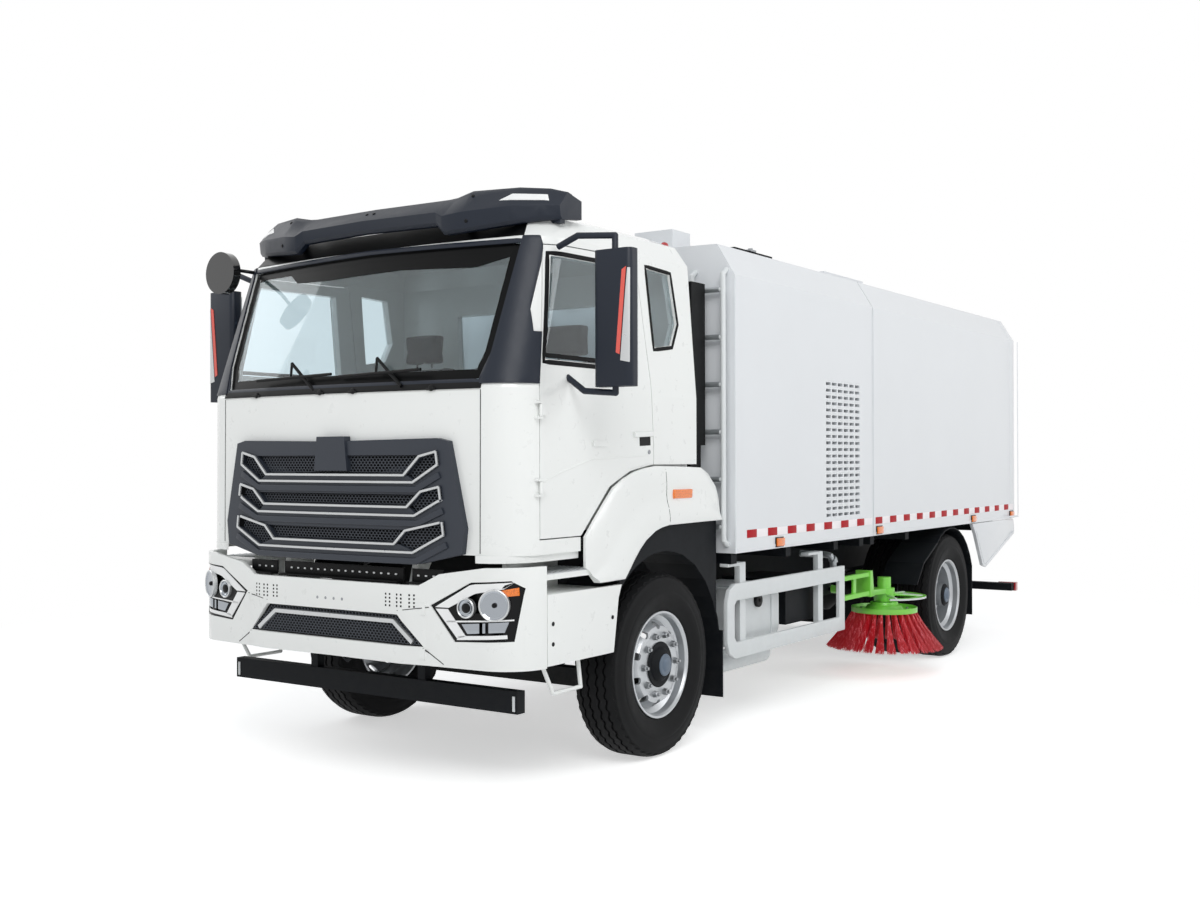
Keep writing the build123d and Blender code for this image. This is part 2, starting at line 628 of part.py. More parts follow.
put(door_glass, "door_glass_left")
put(other_side(door_glass), "door_glass_right")
mirror_body = fillet(box(mirror_x0, mirror_x1, mirror_y0, mirror_y1, 2025,
        2700).edges().filter_by(Axis.Z), 30)
mirror_body = mirror_body + pipe([(1130, -960, 2735), (1250, -960, 2780), (1440, -910, 2770), (1440, -910,
        2690)], 16)
mirror_body = mirror_body + pipe([(1140, -900, 2085), (1250, -905, 2010), (1440, -908, 1995), (1440, -908,
        2040)], 16)
put(mirror_body - walls, "mirror_left")
put(other_side(mirror_body - walls), "mirror_right")

# Sun visor, front mirror, wipers, roof marker
visor_wall = 34
visor_sections = [
    {"x": 0, "low": (-1196, 2880), "high": (-1098, 3026)},
    {"x": 489, "low": (-1157, 2878), "high": (-1060, 3030)},
    {"x": 546, "low": (-1167, 2827), "high": (-1058, 3034)},
    {"x": 657, "low": (-1144, 2834), "high": (-1063, 3056)},
    {"x": 900, "low": (-1068, 2858), "high": (-985, 3060)},
    {"x": 1040, "low": (-985, 2878), "high": (-912, 3050)},
    {"x": 1106, "low": (-905, 2888), "high": (-850, 3034)},
]
visor_end = -720


def visor_wire(row):
    ly, lz = row["low"]
    hy, hz = row["high"]
    mid = (ly - 8, lz + 0.45 * (hz - lz))
    corners = [(ly + 14, lz), (ly, lz + 16), mid, (hy - 6, hz - 14), (hy + 12, hz), (hy + 12 + visor_wall,
            hz - 8), (ly + 14 + visor_wall, lz)]
    return Wire.make_polygon([Vector(row["x"], y, z) for y, z in corners], close=True)


visor = Solid.make_loft([visor_wire(row) for row in visor_sections], True)
last = visor_sections[-1]
end_low = last["low"][0] + 8
end_face = prism_x([(end_low, last["low"][1]), (last["high"][0] + 4, last["high"][1]), (visor_end,
        last["high"][1] - 30), (visor_end, last["low"][1] + 20)],
                   last["x"] - visor_wall, last["x"])
stay = box(600, 640, -1130, -950, 2880, 2900) + box(1040, 1100, -900, -860, 2870, 2890)
visor = both(visor + end_face + stay) - outer
pillar_line = [(925, 2040), (1180, 2040), (1180, 2795), (985, 2795), (955, 2200)]
pillar = (cab_solid(-pillar_cover, cab_floor_z, 2960) - cab_solid(-0.3, cab_floor_z - 5,
        2955)) & prism_y(pillar_line, -1600, -1015)
pillar = pillar - prism_x(grow(door_line, door_gap), 900, 1300) - prism_x([(-1140, 2300), (-1000, 2300),
        (-1000, 2850), (-1100, 2850)], 1080, 1300)
visor = visor + both(pillar)
put(visor, "sun_visor")
front_mirror = rod((-904, -1400, 2720), (-904, -1350, 2720), 118)
front_mirror = front_mirror + pipe([(-904, -1360, 2720), (-960, -1240, 2760), (-1010, -1090, 2770),
        (-1020, -1000, 2770)], 11)
put(front_mirror - cab_solid(-pillar_cover, cab_floor_z, 2960), "front_mirror")

wipers = []
for x in (-300, 330):
    base = (x + 120, -1375, 2040)
    wipers.append(pipe([base, (x - 60, -1362, 2190)], 9) + pipe([(x - 330, -1368, 2105), (x + 250, -1375,
            2120)], 8) + rod((x - 60, -1362, 2190), (x - 60, -1370, 2110), 7))
put(join(wipers) - outer, "wipers")

# Inside: dashboard with steering wheel, two seats
dash = box(-1080, 1080, -1260, -980, 1700, 2010) + box(-200, 200, -1260, -900, 1255, 1700)
dash = dash - box(-1090, 1090, -1300, -1180, 2000, 2100)
dash = dash & inner
ring = Pos(550, -740, 1950) * Rot(-60, 0, 0) * Torus(225, 14)
spoke = Pos(550, -740, 1950) * Rot(-60, 0, 0) * (Box(440, 40, 16) + Cylinder(60, 30))
column = rod((550, -1000, 1830), (550, -755, 1945), 28)
put(dash + (column + spoke + ring - box(-1090, 1090, -1262, -980, 1700, 2010)), "dashboard")
seats = []
for x in (550, -550):
    seat = box(x - 250, x + 250, -560, -60, 1560, 1700) + box(x - 240, x + 240, -160, -20, 1700, 2260)
    seat = seat + box(x - 140, x + 140, -130, -40, 2260, 2450) + box(x - 180, x + 180, -480, -120,
            cab_deck_z + 50, 1560)
    seats.append(seat)
put(join(seats), "seats")

# Side guards: two rails, a round front end, posts and hangers from the body cross beams
guard_x0 = 1172
guard_x1 = 1200
guard_rails = [
    {"z0": 455, "z1": 552, "y0": 780, "y1": 2380},
    {"z0": 806, "z1": 908, "y0": 780, "y1": 2380},
]
guard = box(guard_x0, guard_x1, 2290, 2380, 455, 908)
guard = guard + prism_x([(880, 552), (880, 455), (760, 455), (690, 490), (660, 560), (660, 805), (690,
        875), (760, 908), (880, 908), (880, 806), (780, 806), (752, 780), (752, 582), (780, 552)], guard_x0, guard_x1)
for row in guard_rails:
    guard = guard + box(guard_x0, guard_x1, row["y0"], row["y1"], row["z0"], row["z1"])
for y in (870, 2000):
    guard = guard + box(guard_x0 - 40, guard_x0, y, y + 75, 500, rail_top + 40)
    guard = guard + box(guard_x0 - 60, guard_x0, y - 150, y + 75, rail_top + 20, rail_top + 40)
put(both(guard), "side_guards")

# Tanks and boxes between the axles
tank_low = 480
tank_top = 850
fuel = box(620, 1090, 1000, 1560, tank_low, tank_top)
fuel = fillet(fuel.edges().filter_by(Axis.Y), 90)
straps = box(612, 1098, 1080, 1120, tank_low - 8, tank_top + 8) + box(612, 1098, 1440, 1480, tank_low - 8,
        tank_top + 8)
fuel = fuel + fillet(straps.edges().filter_by(Axis.Y), 94)
fuel = fuel + box(rail_x, 640, 1070, 1130, 750, 800) + box(rail_x, 640, 1430, 1490, 750, 800)
battery = box(640, 1100, 1050, 1650, 500, 860)
battery = battery + box(rail_x, 640, 1150, 1210, 740, 800) + box(rail_x, 640, 1490, 1550, 740, 800)
air = rod((1000, 760, 400), (1000, 1480, 400), 70) + box(985, 1015, 1180, 1220, 460, tank_low) + box(985,
        1015, 1370, 1410, 460, tank_low)
put(fuel + air, "tanks")
silencer = rod((760, 1700, 640), (760, 2280, 640), 150)
silencer = silencer + box(rail_x, 640, 1780, 1820, 700, 760) + box(rail_x, 640, 2140, 2180, 700, 760)
put(other_side(silencer), "silencer")
water = box(620, 1100, 1640, 2180, 560, 860)
water = water + box(rail_x, 620, 1720, 1780, 740, 800) + box(rail_x, 620, 2040, 2100, 740, 800)
put(other_side(battery) + water, "side_boxes")

# Body section line seen from behind
body_line = [(0, body_low), (side_x, body_low), (side_x, shoulder_z), (roof_side_x, roof_side_z), (0,
        roof_mid_z)]
body_line = body_line + [(-px, pz) for px, pz in reversed(body_line[1:-1])]
body_wall = 30


def body_inset(w):
    half = [(0, body_low + w), (side_x - w, body_low + w), (side_x - w, shoulder_z - w * 0.5),
            (roof_side_x - w * 0.6, roof_side_z - w), (0, roof_mid_z - w)]
    return half + [(-px, pz) for px, pz in reversed(half[1:-1])]


# Front body section: machine housing with louvred sides
housing = prism_y(body_line, body_front, body_split - 5)
housing = housing - prism_y(body_inset(body_wall), body_front + body_wall, body_split - 5 - body_wall)
louvre_cols = 6
louvre_rows = 21
louvre_y0 = 1968
louvre_z0 = 1270
louvre_pitch_y = 98
louvre_pitch_z = 45
slot_long = 76
slot_high = 20
slots = []
for i in range(louvre_cols):
    for j in range(louvre_rows):
        y = louvre_y0 + i * louvre_pitch_y
        z = louvre_z0 + j * louvre_pitch_z
        slots.append(box(-side_x - 10, side_x + 10, y, y + slot_long, z, z + slot_high))
housing = housing - Compound(children=slots)
put(housing, "machine_housing")

# Roof pieces on the front section: box, hatch rim and hinged lid
roof_box = box(480, 760, 760, 980, 2960, 3110)
roof_box = roof_box - prism_y(body_line, 700, 1100)
rim_wall = box(480, 960, 1190, 1700, 2950, 3012) - box(500, 940, 1210, 1680, 2940, 3020)
rim_wall = rim_wall - prism_y(body_line, 1100, 1800)
lid_pin_x = 455
lid_pin_z = 3020
rim_ears = box(440, 480, 1250, 1290, 2960, 3030) + box(440, 480, 1600, 1640, 2960, 3030)
rim_ears = rim_ears - prism_y(body_line, 1100, 1800)
rim_ears = rim_ears - rod((lid_pin_x, 1200, lid_pin_z), (lid_pin_x, 1700, lid_pin_z), 6 + pin_gap)
put(roof_box + rim_wall + rim_ears, "roof_box")
lid = box(486, 975, 1180, 1710, 3018, 3034)
lid = lid + box(lid_pin_x - 14, 500, 1300, 1590, 3020, 3034) + rod((lid_pin_x, 1245, lid_pin_z),
        (lid_pin_x, 1645, lid_pin_z), 6)
lid = lid + rod((lid_pin_x, 1300, lid_pin_z), (lid_pin_x, 1590, lid_pin_z), 14)
put(lid, "roof_lid")

# Ladder on the front left corner of the body
stile_r = 16
ladder_low = 1180
ladder_top = 2780
ladder_y = 624
stiles = []
for x in (980, 1195):
    stiles.append(pipe([(x, body_front, ladder_top + 30), (x, ladder_y, ladder_top), (x, ladder_y,
            ladder_low), (x, body_front, ladder_low - 30)], stile_r))
ladder = join(stiles)
for i in range(6):
    z = ladder_low + 80 + i * 285
    ladder = ladder + rod((980, ladder_y, z), (1195, ladder_y, z), 13)
ladder = ladder - box(700, 1300, body_front, body_front + 60, 1000, 3000)
put(ladder, "ladder")

# Intake stack behind the cab
stack = box(930, 1090, 430, 590, 1750, 2720)
stack = stack + box(950, 1070, 450, 570, 1320, 1750) + box(700, 1090, 430, 590, 1200, 1320)
put(stack, "intake_stack")

# Hopper: rear body section that tips about the rear pin
hopper = prism_y(body_line, body_split + 5, body_rear)
hopper = hopper - prism_y(body_inset(body_wall), body_split + 5 + body_wall, body_rear + 1)
hopper_eye = box(602, 650, 5900, hopper_pin_y + 20, hopper_pin_z - 10, body_low) + rod((602, hopper_pin_y,
        hopper_pin_z), (650, hopper_pin_y, hopper_pin_z), 40)
hopper_eye = hopper_eye - rod((590, hopper_pin_y, hopper_pin_z), (670, hopper_pin_y, hopper_pin_z),
        hopper_pin_r + pin_gap)
hopper_eye = hopper_eye - box(590, 670, body_rear, 6300, body_low - 2, 1200)
gate_pin_y = 6085
gate_pin_z = 3020
ears = box(300, 340, 5960, gate_pin_y, 2970, gate_pin_z + 15) + rod((300, gate_pin_y, gate_pin_z), (340,
        gate_pin_y, gate_pin_z), 24)
ears = ears + box(-20, 20, 5960, gate_pin_y, 2980, gate_pin_z + 15) + rod((-20, gate_pin_y, gate_pin_z),
        (20, gate_pin_y, gate_pin_z), 24)
ears = both(ears)
hopper = hopper + both(hopper_eye) + (ears - prism_y(body_line, 5800, body_rear))
hopper = hopper - rod((-400, gate_pin_y, gate_pin_z), (400, gate_pin_y, gate_pin_z), 10 + pin_gap)
vent = box(80, 700, 3150, 3900, 2960, 3130) - prism_y(body_line, 3000, 4000)
put(hopper + vent, "hopper_shell")

# Tailgate hung from the top
gate = prism_y(body_line, body_rear + 6, gate_rear)
gate = gate - both(box(560, 700, body_rear, gate_rear + 1, 1090, body_low + 24))
gate = gate - both(box(290, 350, body_rear, gate_pin_y + 30, 2940, 3100)) - box(-30, 30, body_rear,
        gate_pin_y + 30, 2940, 3100)
knuckles = box(346, 400, gate_pin_y, gate_pin_y + 60, 2960, gate_pin_z + 10) + box(240, 294, gate_pin_y,
        gate_pin_y + 60, 2960, gate_pin_z + 10)
knuckles = knuckles + rod((240, gate_pin_y, gate_pin_z), (400, gate_pin_y, gate_pin_z), 10)
knuckles = knuckles + rod((346, gate_pin_y, gate_pin_z), (400, gate_pin_y, gate_pin_z), 22) + rod((240,
        gate_pin_y, gate_pin_z), (294, gate_pin_y, gate_pin_z), 22)
knuckles = knuckles - prism_y(body_line, body_rear + 6, gate_rear)
gate = gate + both(knuckles)
put(gate, "tailgate")

# Rear skirts, mudguards, bumper bar and lamps
skirt_line = [(4990, body_low - 6), (5080, 1000), (5270, 715), (5350, 693), (6190, 955), (6190, 1035),
        (hopper_pin_y - 5, body_low - 6)]
skirt = prism_x(skirt_line, side_x - 30, side_x)
skirt = skirt + box(side_x - 60, side_x - 30, 5680, 5720, rail_top + 40, body_low - 20)
put(both(skirt), "rear_skirts")
guard_rear = arch_ring(wheelbase, 562, 8, 22, 128, 925, 1232, 9)
guard_rear = guard_rear + prism_x([(4170, 965), (4150, 972), (3850, 830), (3700, 665), (3712, 665), (3860,
        820), (4160, 956)], 925, 1232)
guard_rear = guard_rear + box(925, 1232, 5018, 5028, 300, 730)
put(both(guard_rear), "rear_mudguards")

# Wide suction nozzle behind the rear axle with its duct
nozzle = box(-950, 950, 5320, 5620, 90, 330) - box(-930, 930, 5340, 5600, 60, 300)
nozzle = nozzle + rod((0, 5470, 330), (0, 5470, body_low - 6), 150) - rod((0, 5470, 200), (0, 5470,
        body_low - 6), 138)
nozzle = nozzle + both(box(400, rail_x, 5440, 5500, 330, rail_low))
put(nozzle, "suction_nozzle")

# Side brushes: swing arm, lift arm, spinning disc with tufts
lift_x = 1070
lift_y = 2540
lift_pin_r = 14
brush_x = 1080
brush_y = 3400
brush_z = 500
brush_r = 252
tuft_reach = 445
tuft_low = 205
bore = rod((swing_x, swing_y, swing_low), (swing_x, swing_y, swing_high), swing_pin_r + pin_gap)
swing = rod((swing_x, swing_y, swing_z - swing_half), (swing_x, swing_y, swing_z + swing_half), 45)
swing = swing + box(swing_x + 25, lift_x - 62, swing_y - 30, swing_y + 30, swing_z - 30, swing_z + 30)
swing = swing + box(lift_x - 82, lift_x - 62, swing_y - 30, lift_y + 35, swing_z - 40, swing_z + 40) - bore
swing = swing + rod((lift_x - 62, lift_y, swing_z), (lift_x + 50, lift_y, swing_z), lift_pin_r)
put(swing, "swing_arm_left")
put(other_side(swing), "swing_arm_right")

# Lift arm: hub, side plate, two bars, end plate and the motor over the brush
bar_x0 = lift_x + 20
bar_x1 = lift_x + 60
arm_end_y = 3020
upper_bar = (swing_z + 62, swing_z + 92)
lower_bar = (swing_z - 80, swing_z - 48)
lift = rod((lift_x - 40, lift_y, swing_z), (lift_x + 40, lift_y, swing_z), 30)
lift = lift + box(bar_x0 - 12, bar_x0 + 12, lift_y - 34, lift_y + 34, lower_bar[0], upper_bar[1])
lift = lift + box(bar_x0, bar_x1, lift_y - 34, arm_end_y, upper_bar[0], upper_bar[1])
lift = lift + box(bar_x0, bar_x1, lift_y - 34, arm_end_y, lower_bar[0], lower_bar[1])
lift = lift + box(bar_x0 + 5, bar_x0 + 20, 2740, 2790, lower_bar[0], upper_bar[1])
end_line = [(arm_end_y - 30, upper_bar[1] + 12), (arm_end_y + 14, upper_bar[1] + 12), (arm_end_y + 46,
        lower_bar[0] - 12), (arm_end_y - 30, lower_bar[0] - 12)]
lift = lift + prism_x(end_line, lift_x - 50, bar_x1 + 8)
head_z = lower_bar[0]
lift = lift + prism_x([(arm_end_y, head_z - 4), (arm_end_y, head_z + 36), (brush_y, head_z + 18),
        (brush_y, head_z - 22)], brush_x - 45, brush_x + 45)
lift = lift + rod((brush_x, brush_y, 560), (brush_x, brush_y, head_z + 22), 80)
lift = lift + rod((brush_x, brush_y, head_z + 22), (brush_x, brush_y, head_z + 105), 52)
lift = lift - rod((lift_x - 45, lift_y, swing_z), (lift_x + 55, lift_y, swing_z), lift_pin_r + pin_gap)
lift = lift + rod((brush_x, brush_y, 470), (brush_x, brush_y, 560), 20)
guard_in = brush_r + 8
guard_out = brush_r + 68
hoop = []
for i in range(13):
    a = math.radians(-60 + i * 12.5)
    hoop.append((brush_x + guard_out * math.cos(a), brush_y + guard_out * math.sin(a)))
for i in range(12, -1, -1):
    a = math.radians(-60 + i * 12.5)
    hoop.append((brush_x + guard_in * math.cos(a), brush_y + guard_in * math.sin(a)))
guard = prism_z(hoop, 592, 606)
for a in (-50, 20, 80):
    c, d = math.cos(math.radians(a)), math.sin(math.radians(a))
    guard = guard + rod((brush_x + 60 * c, brush_y + 60 * d, 610), (brush_x + (guard_in + 30) * c,
            brush_y + (guard_in + 30) * d, 604), 9)
lift = lift + guard
put(lift, "lift_arm_left")
put(other_side(lift), "lift_arm_right")
disc = turn_z([(20 + pin_gap, brush_z - 22), (brush_r, brush_z - 22), (brush_r, brush_z + 18),
        (brush_r - 20, brush_z + 18), (130, brush_z + 26), (110, brush_z + 54), (20 + pin_gap,
        brush_z + 54)], brush_x, brush_y, 0)
tuft_count = 30
tufts = []
for i in range(tuft_count):
    a = 2 * math.pi * i / tuft_count
    c = Vector(math.cos(a), math.sin(a), 0)
    p = Vector(brush_x, brush_y, brush_z - 22) + c * (brush_r - 30)
    q = Vector(brush_x, brush_y, tuft_low) + c * tuft_reach
    axis = (q - p).normalized()
    tuft = Solid.make_cone(12, 34, (q - p).length, Plane(origin=p, z_dir=axis))
    tufts.append(tuft - box(0, 3000, 0, 9000, brush_z - 22, brush_z + 60))
bristles = turn_z([(brush_r - 60, brush_z - 40), (brush_r - 60, brush_z - 22), (brush_r - 6,
        brush_z - 22), (brush_r - 6, brush_z - 40)], brush_x, brush_y, 0)
brush = join([disc, bristles] + tufts)
put(brush, "brush_left")
put(other_side(brush), "brush_right")
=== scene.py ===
import math

import bmesh
import bpy
from mathutils import Matrix, Vector
from mathutils.bvhtree import BVHTree


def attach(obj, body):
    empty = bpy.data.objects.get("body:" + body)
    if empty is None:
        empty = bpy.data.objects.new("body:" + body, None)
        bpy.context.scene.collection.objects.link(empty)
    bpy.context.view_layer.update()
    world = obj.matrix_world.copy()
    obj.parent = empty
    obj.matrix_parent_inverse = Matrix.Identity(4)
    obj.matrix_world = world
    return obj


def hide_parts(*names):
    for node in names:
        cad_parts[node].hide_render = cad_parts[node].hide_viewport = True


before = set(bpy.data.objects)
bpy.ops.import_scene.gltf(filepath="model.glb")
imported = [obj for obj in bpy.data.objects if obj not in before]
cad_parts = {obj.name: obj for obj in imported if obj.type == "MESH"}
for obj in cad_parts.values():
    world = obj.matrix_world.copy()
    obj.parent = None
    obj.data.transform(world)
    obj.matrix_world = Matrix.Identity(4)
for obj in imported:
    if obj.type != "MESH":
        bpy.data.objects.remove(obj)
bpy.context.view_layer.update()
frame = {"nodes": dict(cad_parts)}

# %% [markdown]
# A street sweeper on a two-axle truck chassis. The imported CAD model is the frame: every
# node already stands where it belongs, in metres, with the truck facing -Y and its left
# side on +X. This lesson gives each node a real finish and adds what a press tool, a
# mould or a fitter would have left on the real one: tread, lamps, seams, screws, tape.

# %% Places that many pieces share
MM = 0.001
MIDDLE = 2.485
LEFT, RIGHT = 1, -1
SIDES = ((LEFT, "left"), (RIGHT, "right"))
AXLE_Z = 0.515
nodes = frame["nodes"]

# %% [markdown]
# Colours are written as the sRGB hex a paint chart would give, and one function turns
# them to the linear values that shaders use. One more small function adds a node, sets
# its properties and joins its sockets, in shader trees and geometry trees alike.


# %% Colour and node helpers
def linear(code):
    channels = [int(code[i:i + 2], 16) / 255 for i in (0, 2, 4)]
    return [c / 12.92 if c <= 0.04045 else ((c + 0.055) / 1.055) ** 2.4 for c in channels] + [1.0]


def add(tree, kind, sockets=None, **settings):
    made = tree.nodes.new(kind)
    for key, value in settings.items():
        setattr(made, key, value)
    for key, value in (sockets or {}).items():
        if isinstance(value, bpy.types.NodeSocket):
            tree.links.new(value, made.inputs[key])
        else:
            made.inputs[key].default_value = value
    return made


def blank_material(name):
    material = bpy.data.materials.new(name)
    material.use_nodes = True
    tree = material.node_tree
    tree.nodes.clear()
    return material, tree, add(tree, "ShaderNodeTexCoord").outputs["Object"]


def faded(colour, share):
    return [c * share for c in colour[:3]] + [1.0]


# %% [markdown]
# The camera stands where the photograph was taken: a little under two metres up, off the
# left front corner, looking almost level. Its place, turn and focal length were solved
# from the wheels, the ground line and the straight edges of the body.

# %% Camera
PHOTO_WIDTH_PX = 1200
PHOTO_HEIGHT_PX = 900
FOCAL_PX = 1308.46
SENSOR_MM = 36
CAMERA_PLACE = (5.002, -8.750, 1.672)
CAMERA_TURN_DEG = (34.3155, 0.3726, -0.1467)
camera_data = bpy.data.cameras.new("camera")
camera_data.sensor_width = SENSOR_MM
camera_data.lens = FOCAL_PX / PHOTO_WIDTH_PX * SENSOR_MM
camera = bpy.data.objects.new("camera", camera_data)
bpy.context.scene.collection.objects.link(camera)
yaw, pitch, roll = (math.radians(v) for v in CAMERA_TURN_DEG)
forward = Vector((-math.sin(yaw) * math.cos(pitch), math.cos(yaw) * math.cos(pitch),
                  math.sin(pitch)))
level_right = Vector((math.cos(yaw), math.sin(yaw), 0))
level_up = level_right.cross(forward)
right = level_right * math.cos(roll) + level_up * math.sin(roll)
up = level_up * math.cos(roll) - level_right * math.sin(roll)
turn = Matrix((right, up, -forward)).transposed()
camera.matrix_world = Matrix.Translation(CAMERA_PLACE) @ turn.to_4x4()
bpy.context.scene.camera = camera
bpy.context.scene.view_settings.view_transform = "Standard"
print("lens", round(camera_data.lens, 2), "mm")


def pixel_look(px, py):
    across = right * ((px - PHOTO_WIDTH_PX / 2) / FOCAL_PX)
    return forward + across + up * ((PHOTO_HEIGHT_PX / 2 - py) / FOCAL_PX)


# %% [markdown]
# A cut-out studio picture: a floor and a sky that the camera, and anything glossy or
# clear, sees as white, while the light that falls on the truck stays at a plain level.
# The floor is painted only near the truck, so it keeps the shadow, and fades to white.

# %% Floor, sky and lamps
SKY_LEVEL = 0.46
SKY_LOW, SKY_HIGH = 0.45, 1.05
world = bpy.data.worlds.new("studio")
bpy.context.scene.world = world
world.use_nodes = True
tree = world.node_tree
tree.nodes.clear()
path = add(tree, "ShaderNodeLightPath")
glossy, through = path.outputs["Is Glossy Ray"], path.outputs["Is Transmission Ray"]
shiny = add(tree, "ShaderNodeMath", {0: glossy, 1: through}, operation="MAXIMUM")
seen = add(tree, "ShaderNodeMath", {0: path.outputs["Is Camera Ray"], 1: shiny.outputs[0]},
           operation="MAXIMUM")
direction = add(tree, "ShaderNodeTexCoord").outputs["Generated"]
height = add(tree, "ShaderNodeSeparateXYZ", {"Vector": direction}).outputs["Z"]
sky = add(tree, "ShaderNodeMapRange", {
    "Value": height, "From Min": -0.1, "From Max": 0.9, "To Min": SKY_LOW, "To Max": SKY_HIGH})
lit = add(tree, "ShaderNodeBackground", {"Color": linear("F2F6FA"), "Strength": SKY_LEVEL})
sky_level = add(tree, "ShaderNodeMath", {0: sky.outputs[0], 1: SKY_LEVEL}, operation="MULTIPLY")
tree.links.new(sky_level.outputs[0], lit.inputs["Strength"])
white = add(tree, "ShaderNodeBackground", {"Color": (1, 1, 1, 1), "Strength": 1.0})
world_mix = add(tree, "ShaderNodeMixShader", {0: seen.outputs[0], 1: lit.outputs[0], 2: white.outputs[0]})
add(tree, "ShaderNodeOutputWorld", {"Surface": world_mix.outputs[0]})

FLOOR_HALF = 60
FLOOR_GLOW = 0.55
FADE_FROM_M, FADE_TO_M = 3.2, 7.5
floor_mesh = bpy.data.meshes.new("floor")
corners = [(x * FLOOR_HALF, y * FLOOR_HALF, 0) for x, y in ((-1, -1), (1, -1), (1, 1), (-1, 1))]
floor_mesh.from_pydata(corners, [], [(0, 1, 2, 3)])
floor = bpy.data.objects.new("floor", floor_mesh)
bpy.context.scene.collection.objects.link(floor)
floor_paint, tree, place = blank_material("studio_floor")
far = add(tree, "ShaderNodeVectorMath", {0: place}, operation="LENGTH").outputs["Value"]
fade = add(tree, "ShaderNodeMapRange", {"Value": far, "From Min": FADE_FROM_M, "From Max": FADE_TO_M})
path = add(tree, "ShaderNodeLightPath")
direct, glossy = path.outputs["Is Camera Ray"], path.outputs["Is Glossy Ray"]
glow_seen = add(tree, "ShaderNodeMath", {0: direct, 1: glossy}, operation="MAXIMUM")
glow_level = add(tree, "ShaderNodeMath", {0: glow_seen.outputs[0], 1: FLOOR_GLOW}, operation="MULTIPLY")
matt = add(tree, "ShaderNodeBsdfDiffuse", {"Color": linear("F7F7F6")})
lift = add(tree, "ShaderNodeEmission", {"Color": (1, 1, 1, 1), "Strength": glow_level.outputs[0]})
near = add(tree, "ShaderNodeAddShader", {0: matt.outputs[0], 1: lift.outputs[0]})
glow = add(tree, "ShaderNodeEmission", {"Color": (1, 1, 1, 1), "Strength": 1.0})
floor_mix = add(tree, "ShaderNodeMixShader", {0: fade.outputs[0], 1: near.outputs[0], 2: glow.outputs[0]})
add(tree, "ShaderNodeOutputMaterial", {"Surface": floor_mix.outputs[0]})
floor_mesh.materials.append(floor_paint)

# name, place and aim in metres, width in metres, power in watts
for name, place, aim, size, watts in (
    ("key_lamp", (6.5, -9.5, 8.5), (0.3, -1.5, 1.2), 6.0, 560),
    ("side_lamp", (10.0, 2.5, 6.0), (0, 1, 1.4), 6.0, 240),
    ("far_lamp", (-8.5, -4.5, 7.0), (0, -1, 1.4), 6.0, 170),
):
    lamp_data = bpy.data.lights.new(name, "AREA")
    lamp_data.size = size
    lamp_data.energy = watts
    lamp = bpy.data.objects.new(name, lamp_data)
    bpy.context.scene.collection.objects.link(lamp)
    look = Vector(aim) - Vector(place)
    lamp.matrix_world = Matrix.Translation(place) @ look.to_track_quat("-Z", "Y").to_matrix().to_4x4()
print("lamps and floor set")

# %% [markdown]
# Most surfaces on a truck are a paint, a moulding or a metal, so one function builds
# them all from the same facts: the colour and how far it drifts over the panel, the gloss,
# the clear coat, the size in millimetres of the grain that the making left, how deep that
# grain is, and how much road dust has settled on it. Dust is thickest near the ground.

# %% One builder for paints, mouldings and metals
DUST = linear("8F8B82")
DRIFT_PER_M, SPECK_PER_M = 2.2, 14.0
CLEAN_ABOVE_M, DUSTY_BELOW_M = 1.5, 0.15


def finish(name, colour, rough, grain_mm, depth_mm, drift=0.06, metallic=0.0, coat=0.0, dust=0.12,
           sheen=0.0, shine=0.5):
    material, tree, place = blank_material(name)
    broad = add(tree, "ShaderNodeTexNoise", {"Vector": place, "Scale": DRIFT_PER_M, "Detail": 3.0})
    fine = add(tree, "ShaderNodeTexNoise", {"Vector": place, "Scale": 1000 / grain_mm, "Detail": 2.0})
    base = linear(colour)
    dark = faded(base, 1 - drift)
    light = [min(1, c * (1 + drift)) for c in base[:3]] + [1.0]
    tone = add(tree, "ShaderNodeMix", {0: broad.outputs["Fac"], 6: dark, 7: light}, data_type="RGBA")
    height = add(tree, "ShaderNodeSeparateXYZ", {"Vector": place}).outputs["Z"]
    low = add(tree, "ShaderNodeMapRange", {
        "Value": height, "From Min": CLEAN_ABOVE_M, "From Max": DUSTY_BELOW_M,
        "To Min": 0.06, "To Max": 1.0})
    speck = add(tree, "ShaderNodeTexNoise", {
        "Vector": place, "Scale": SPECK_PER_M, "Detail": 5.0, "Roughness": 0.7})
    spots = add(tree, "ShaderNodeMapRange", {
        "Value": speck.outputs["Fac"], "From Min": 0.35, "From Max": 0.75})
    film = add(tree, "ShaderNodeMath", {0: low.outputs[0], 1: spots.outputs[0]}, operation="MULTIPLY")
    amount = add(tree, "ShaderNodeMath", {0: film.outputs[0], 1: dust}, operation="MULTIPLY")
    skin = add(tree, "ShaderNodeMix", {0: amount.outputs[0], 6: tone.outputs[2], 7: DUST}, data_type="RGBA")
    gloss = add(tree, "ShaderNodeMapRange", {
        "Value": speck.outputs["Fac"], "To Min": rough * 0.85, "To Max": min(1, rough * 1.2)})
    bump = add(tree, "ShaderNodeBump", {
        "Height": fine.outputs["Fac"], "Distance": depth_mm * MM, "Strength": 0.6})
    shader = add(tree, "ShaderNodeBsdfPrincipled", {
        "Base Color": skin.outputs[2], "Roughness": gloss.outputs[0], "Metallic": metallic,
        "Coat Weight": coat, "Coat Roughness": 0.05, "Specular IOR Level": shine,
        "Sheen Weight": sheen, "Normal": bump.outputs[0]})
    add(tree, "ShaderNodeOutputMaterial", {"Surface": shader.outputs[0]})
    return material


# %% [markdown]
# The finishes, each named for the real one. Cab and body are two-pack acrylic enamel,
# sprayed, with the faint orange peel that gives; the frame is thick black chassis enamel;
# visor and mirror caps are moulded polypropylene with a leather grain in the tool.

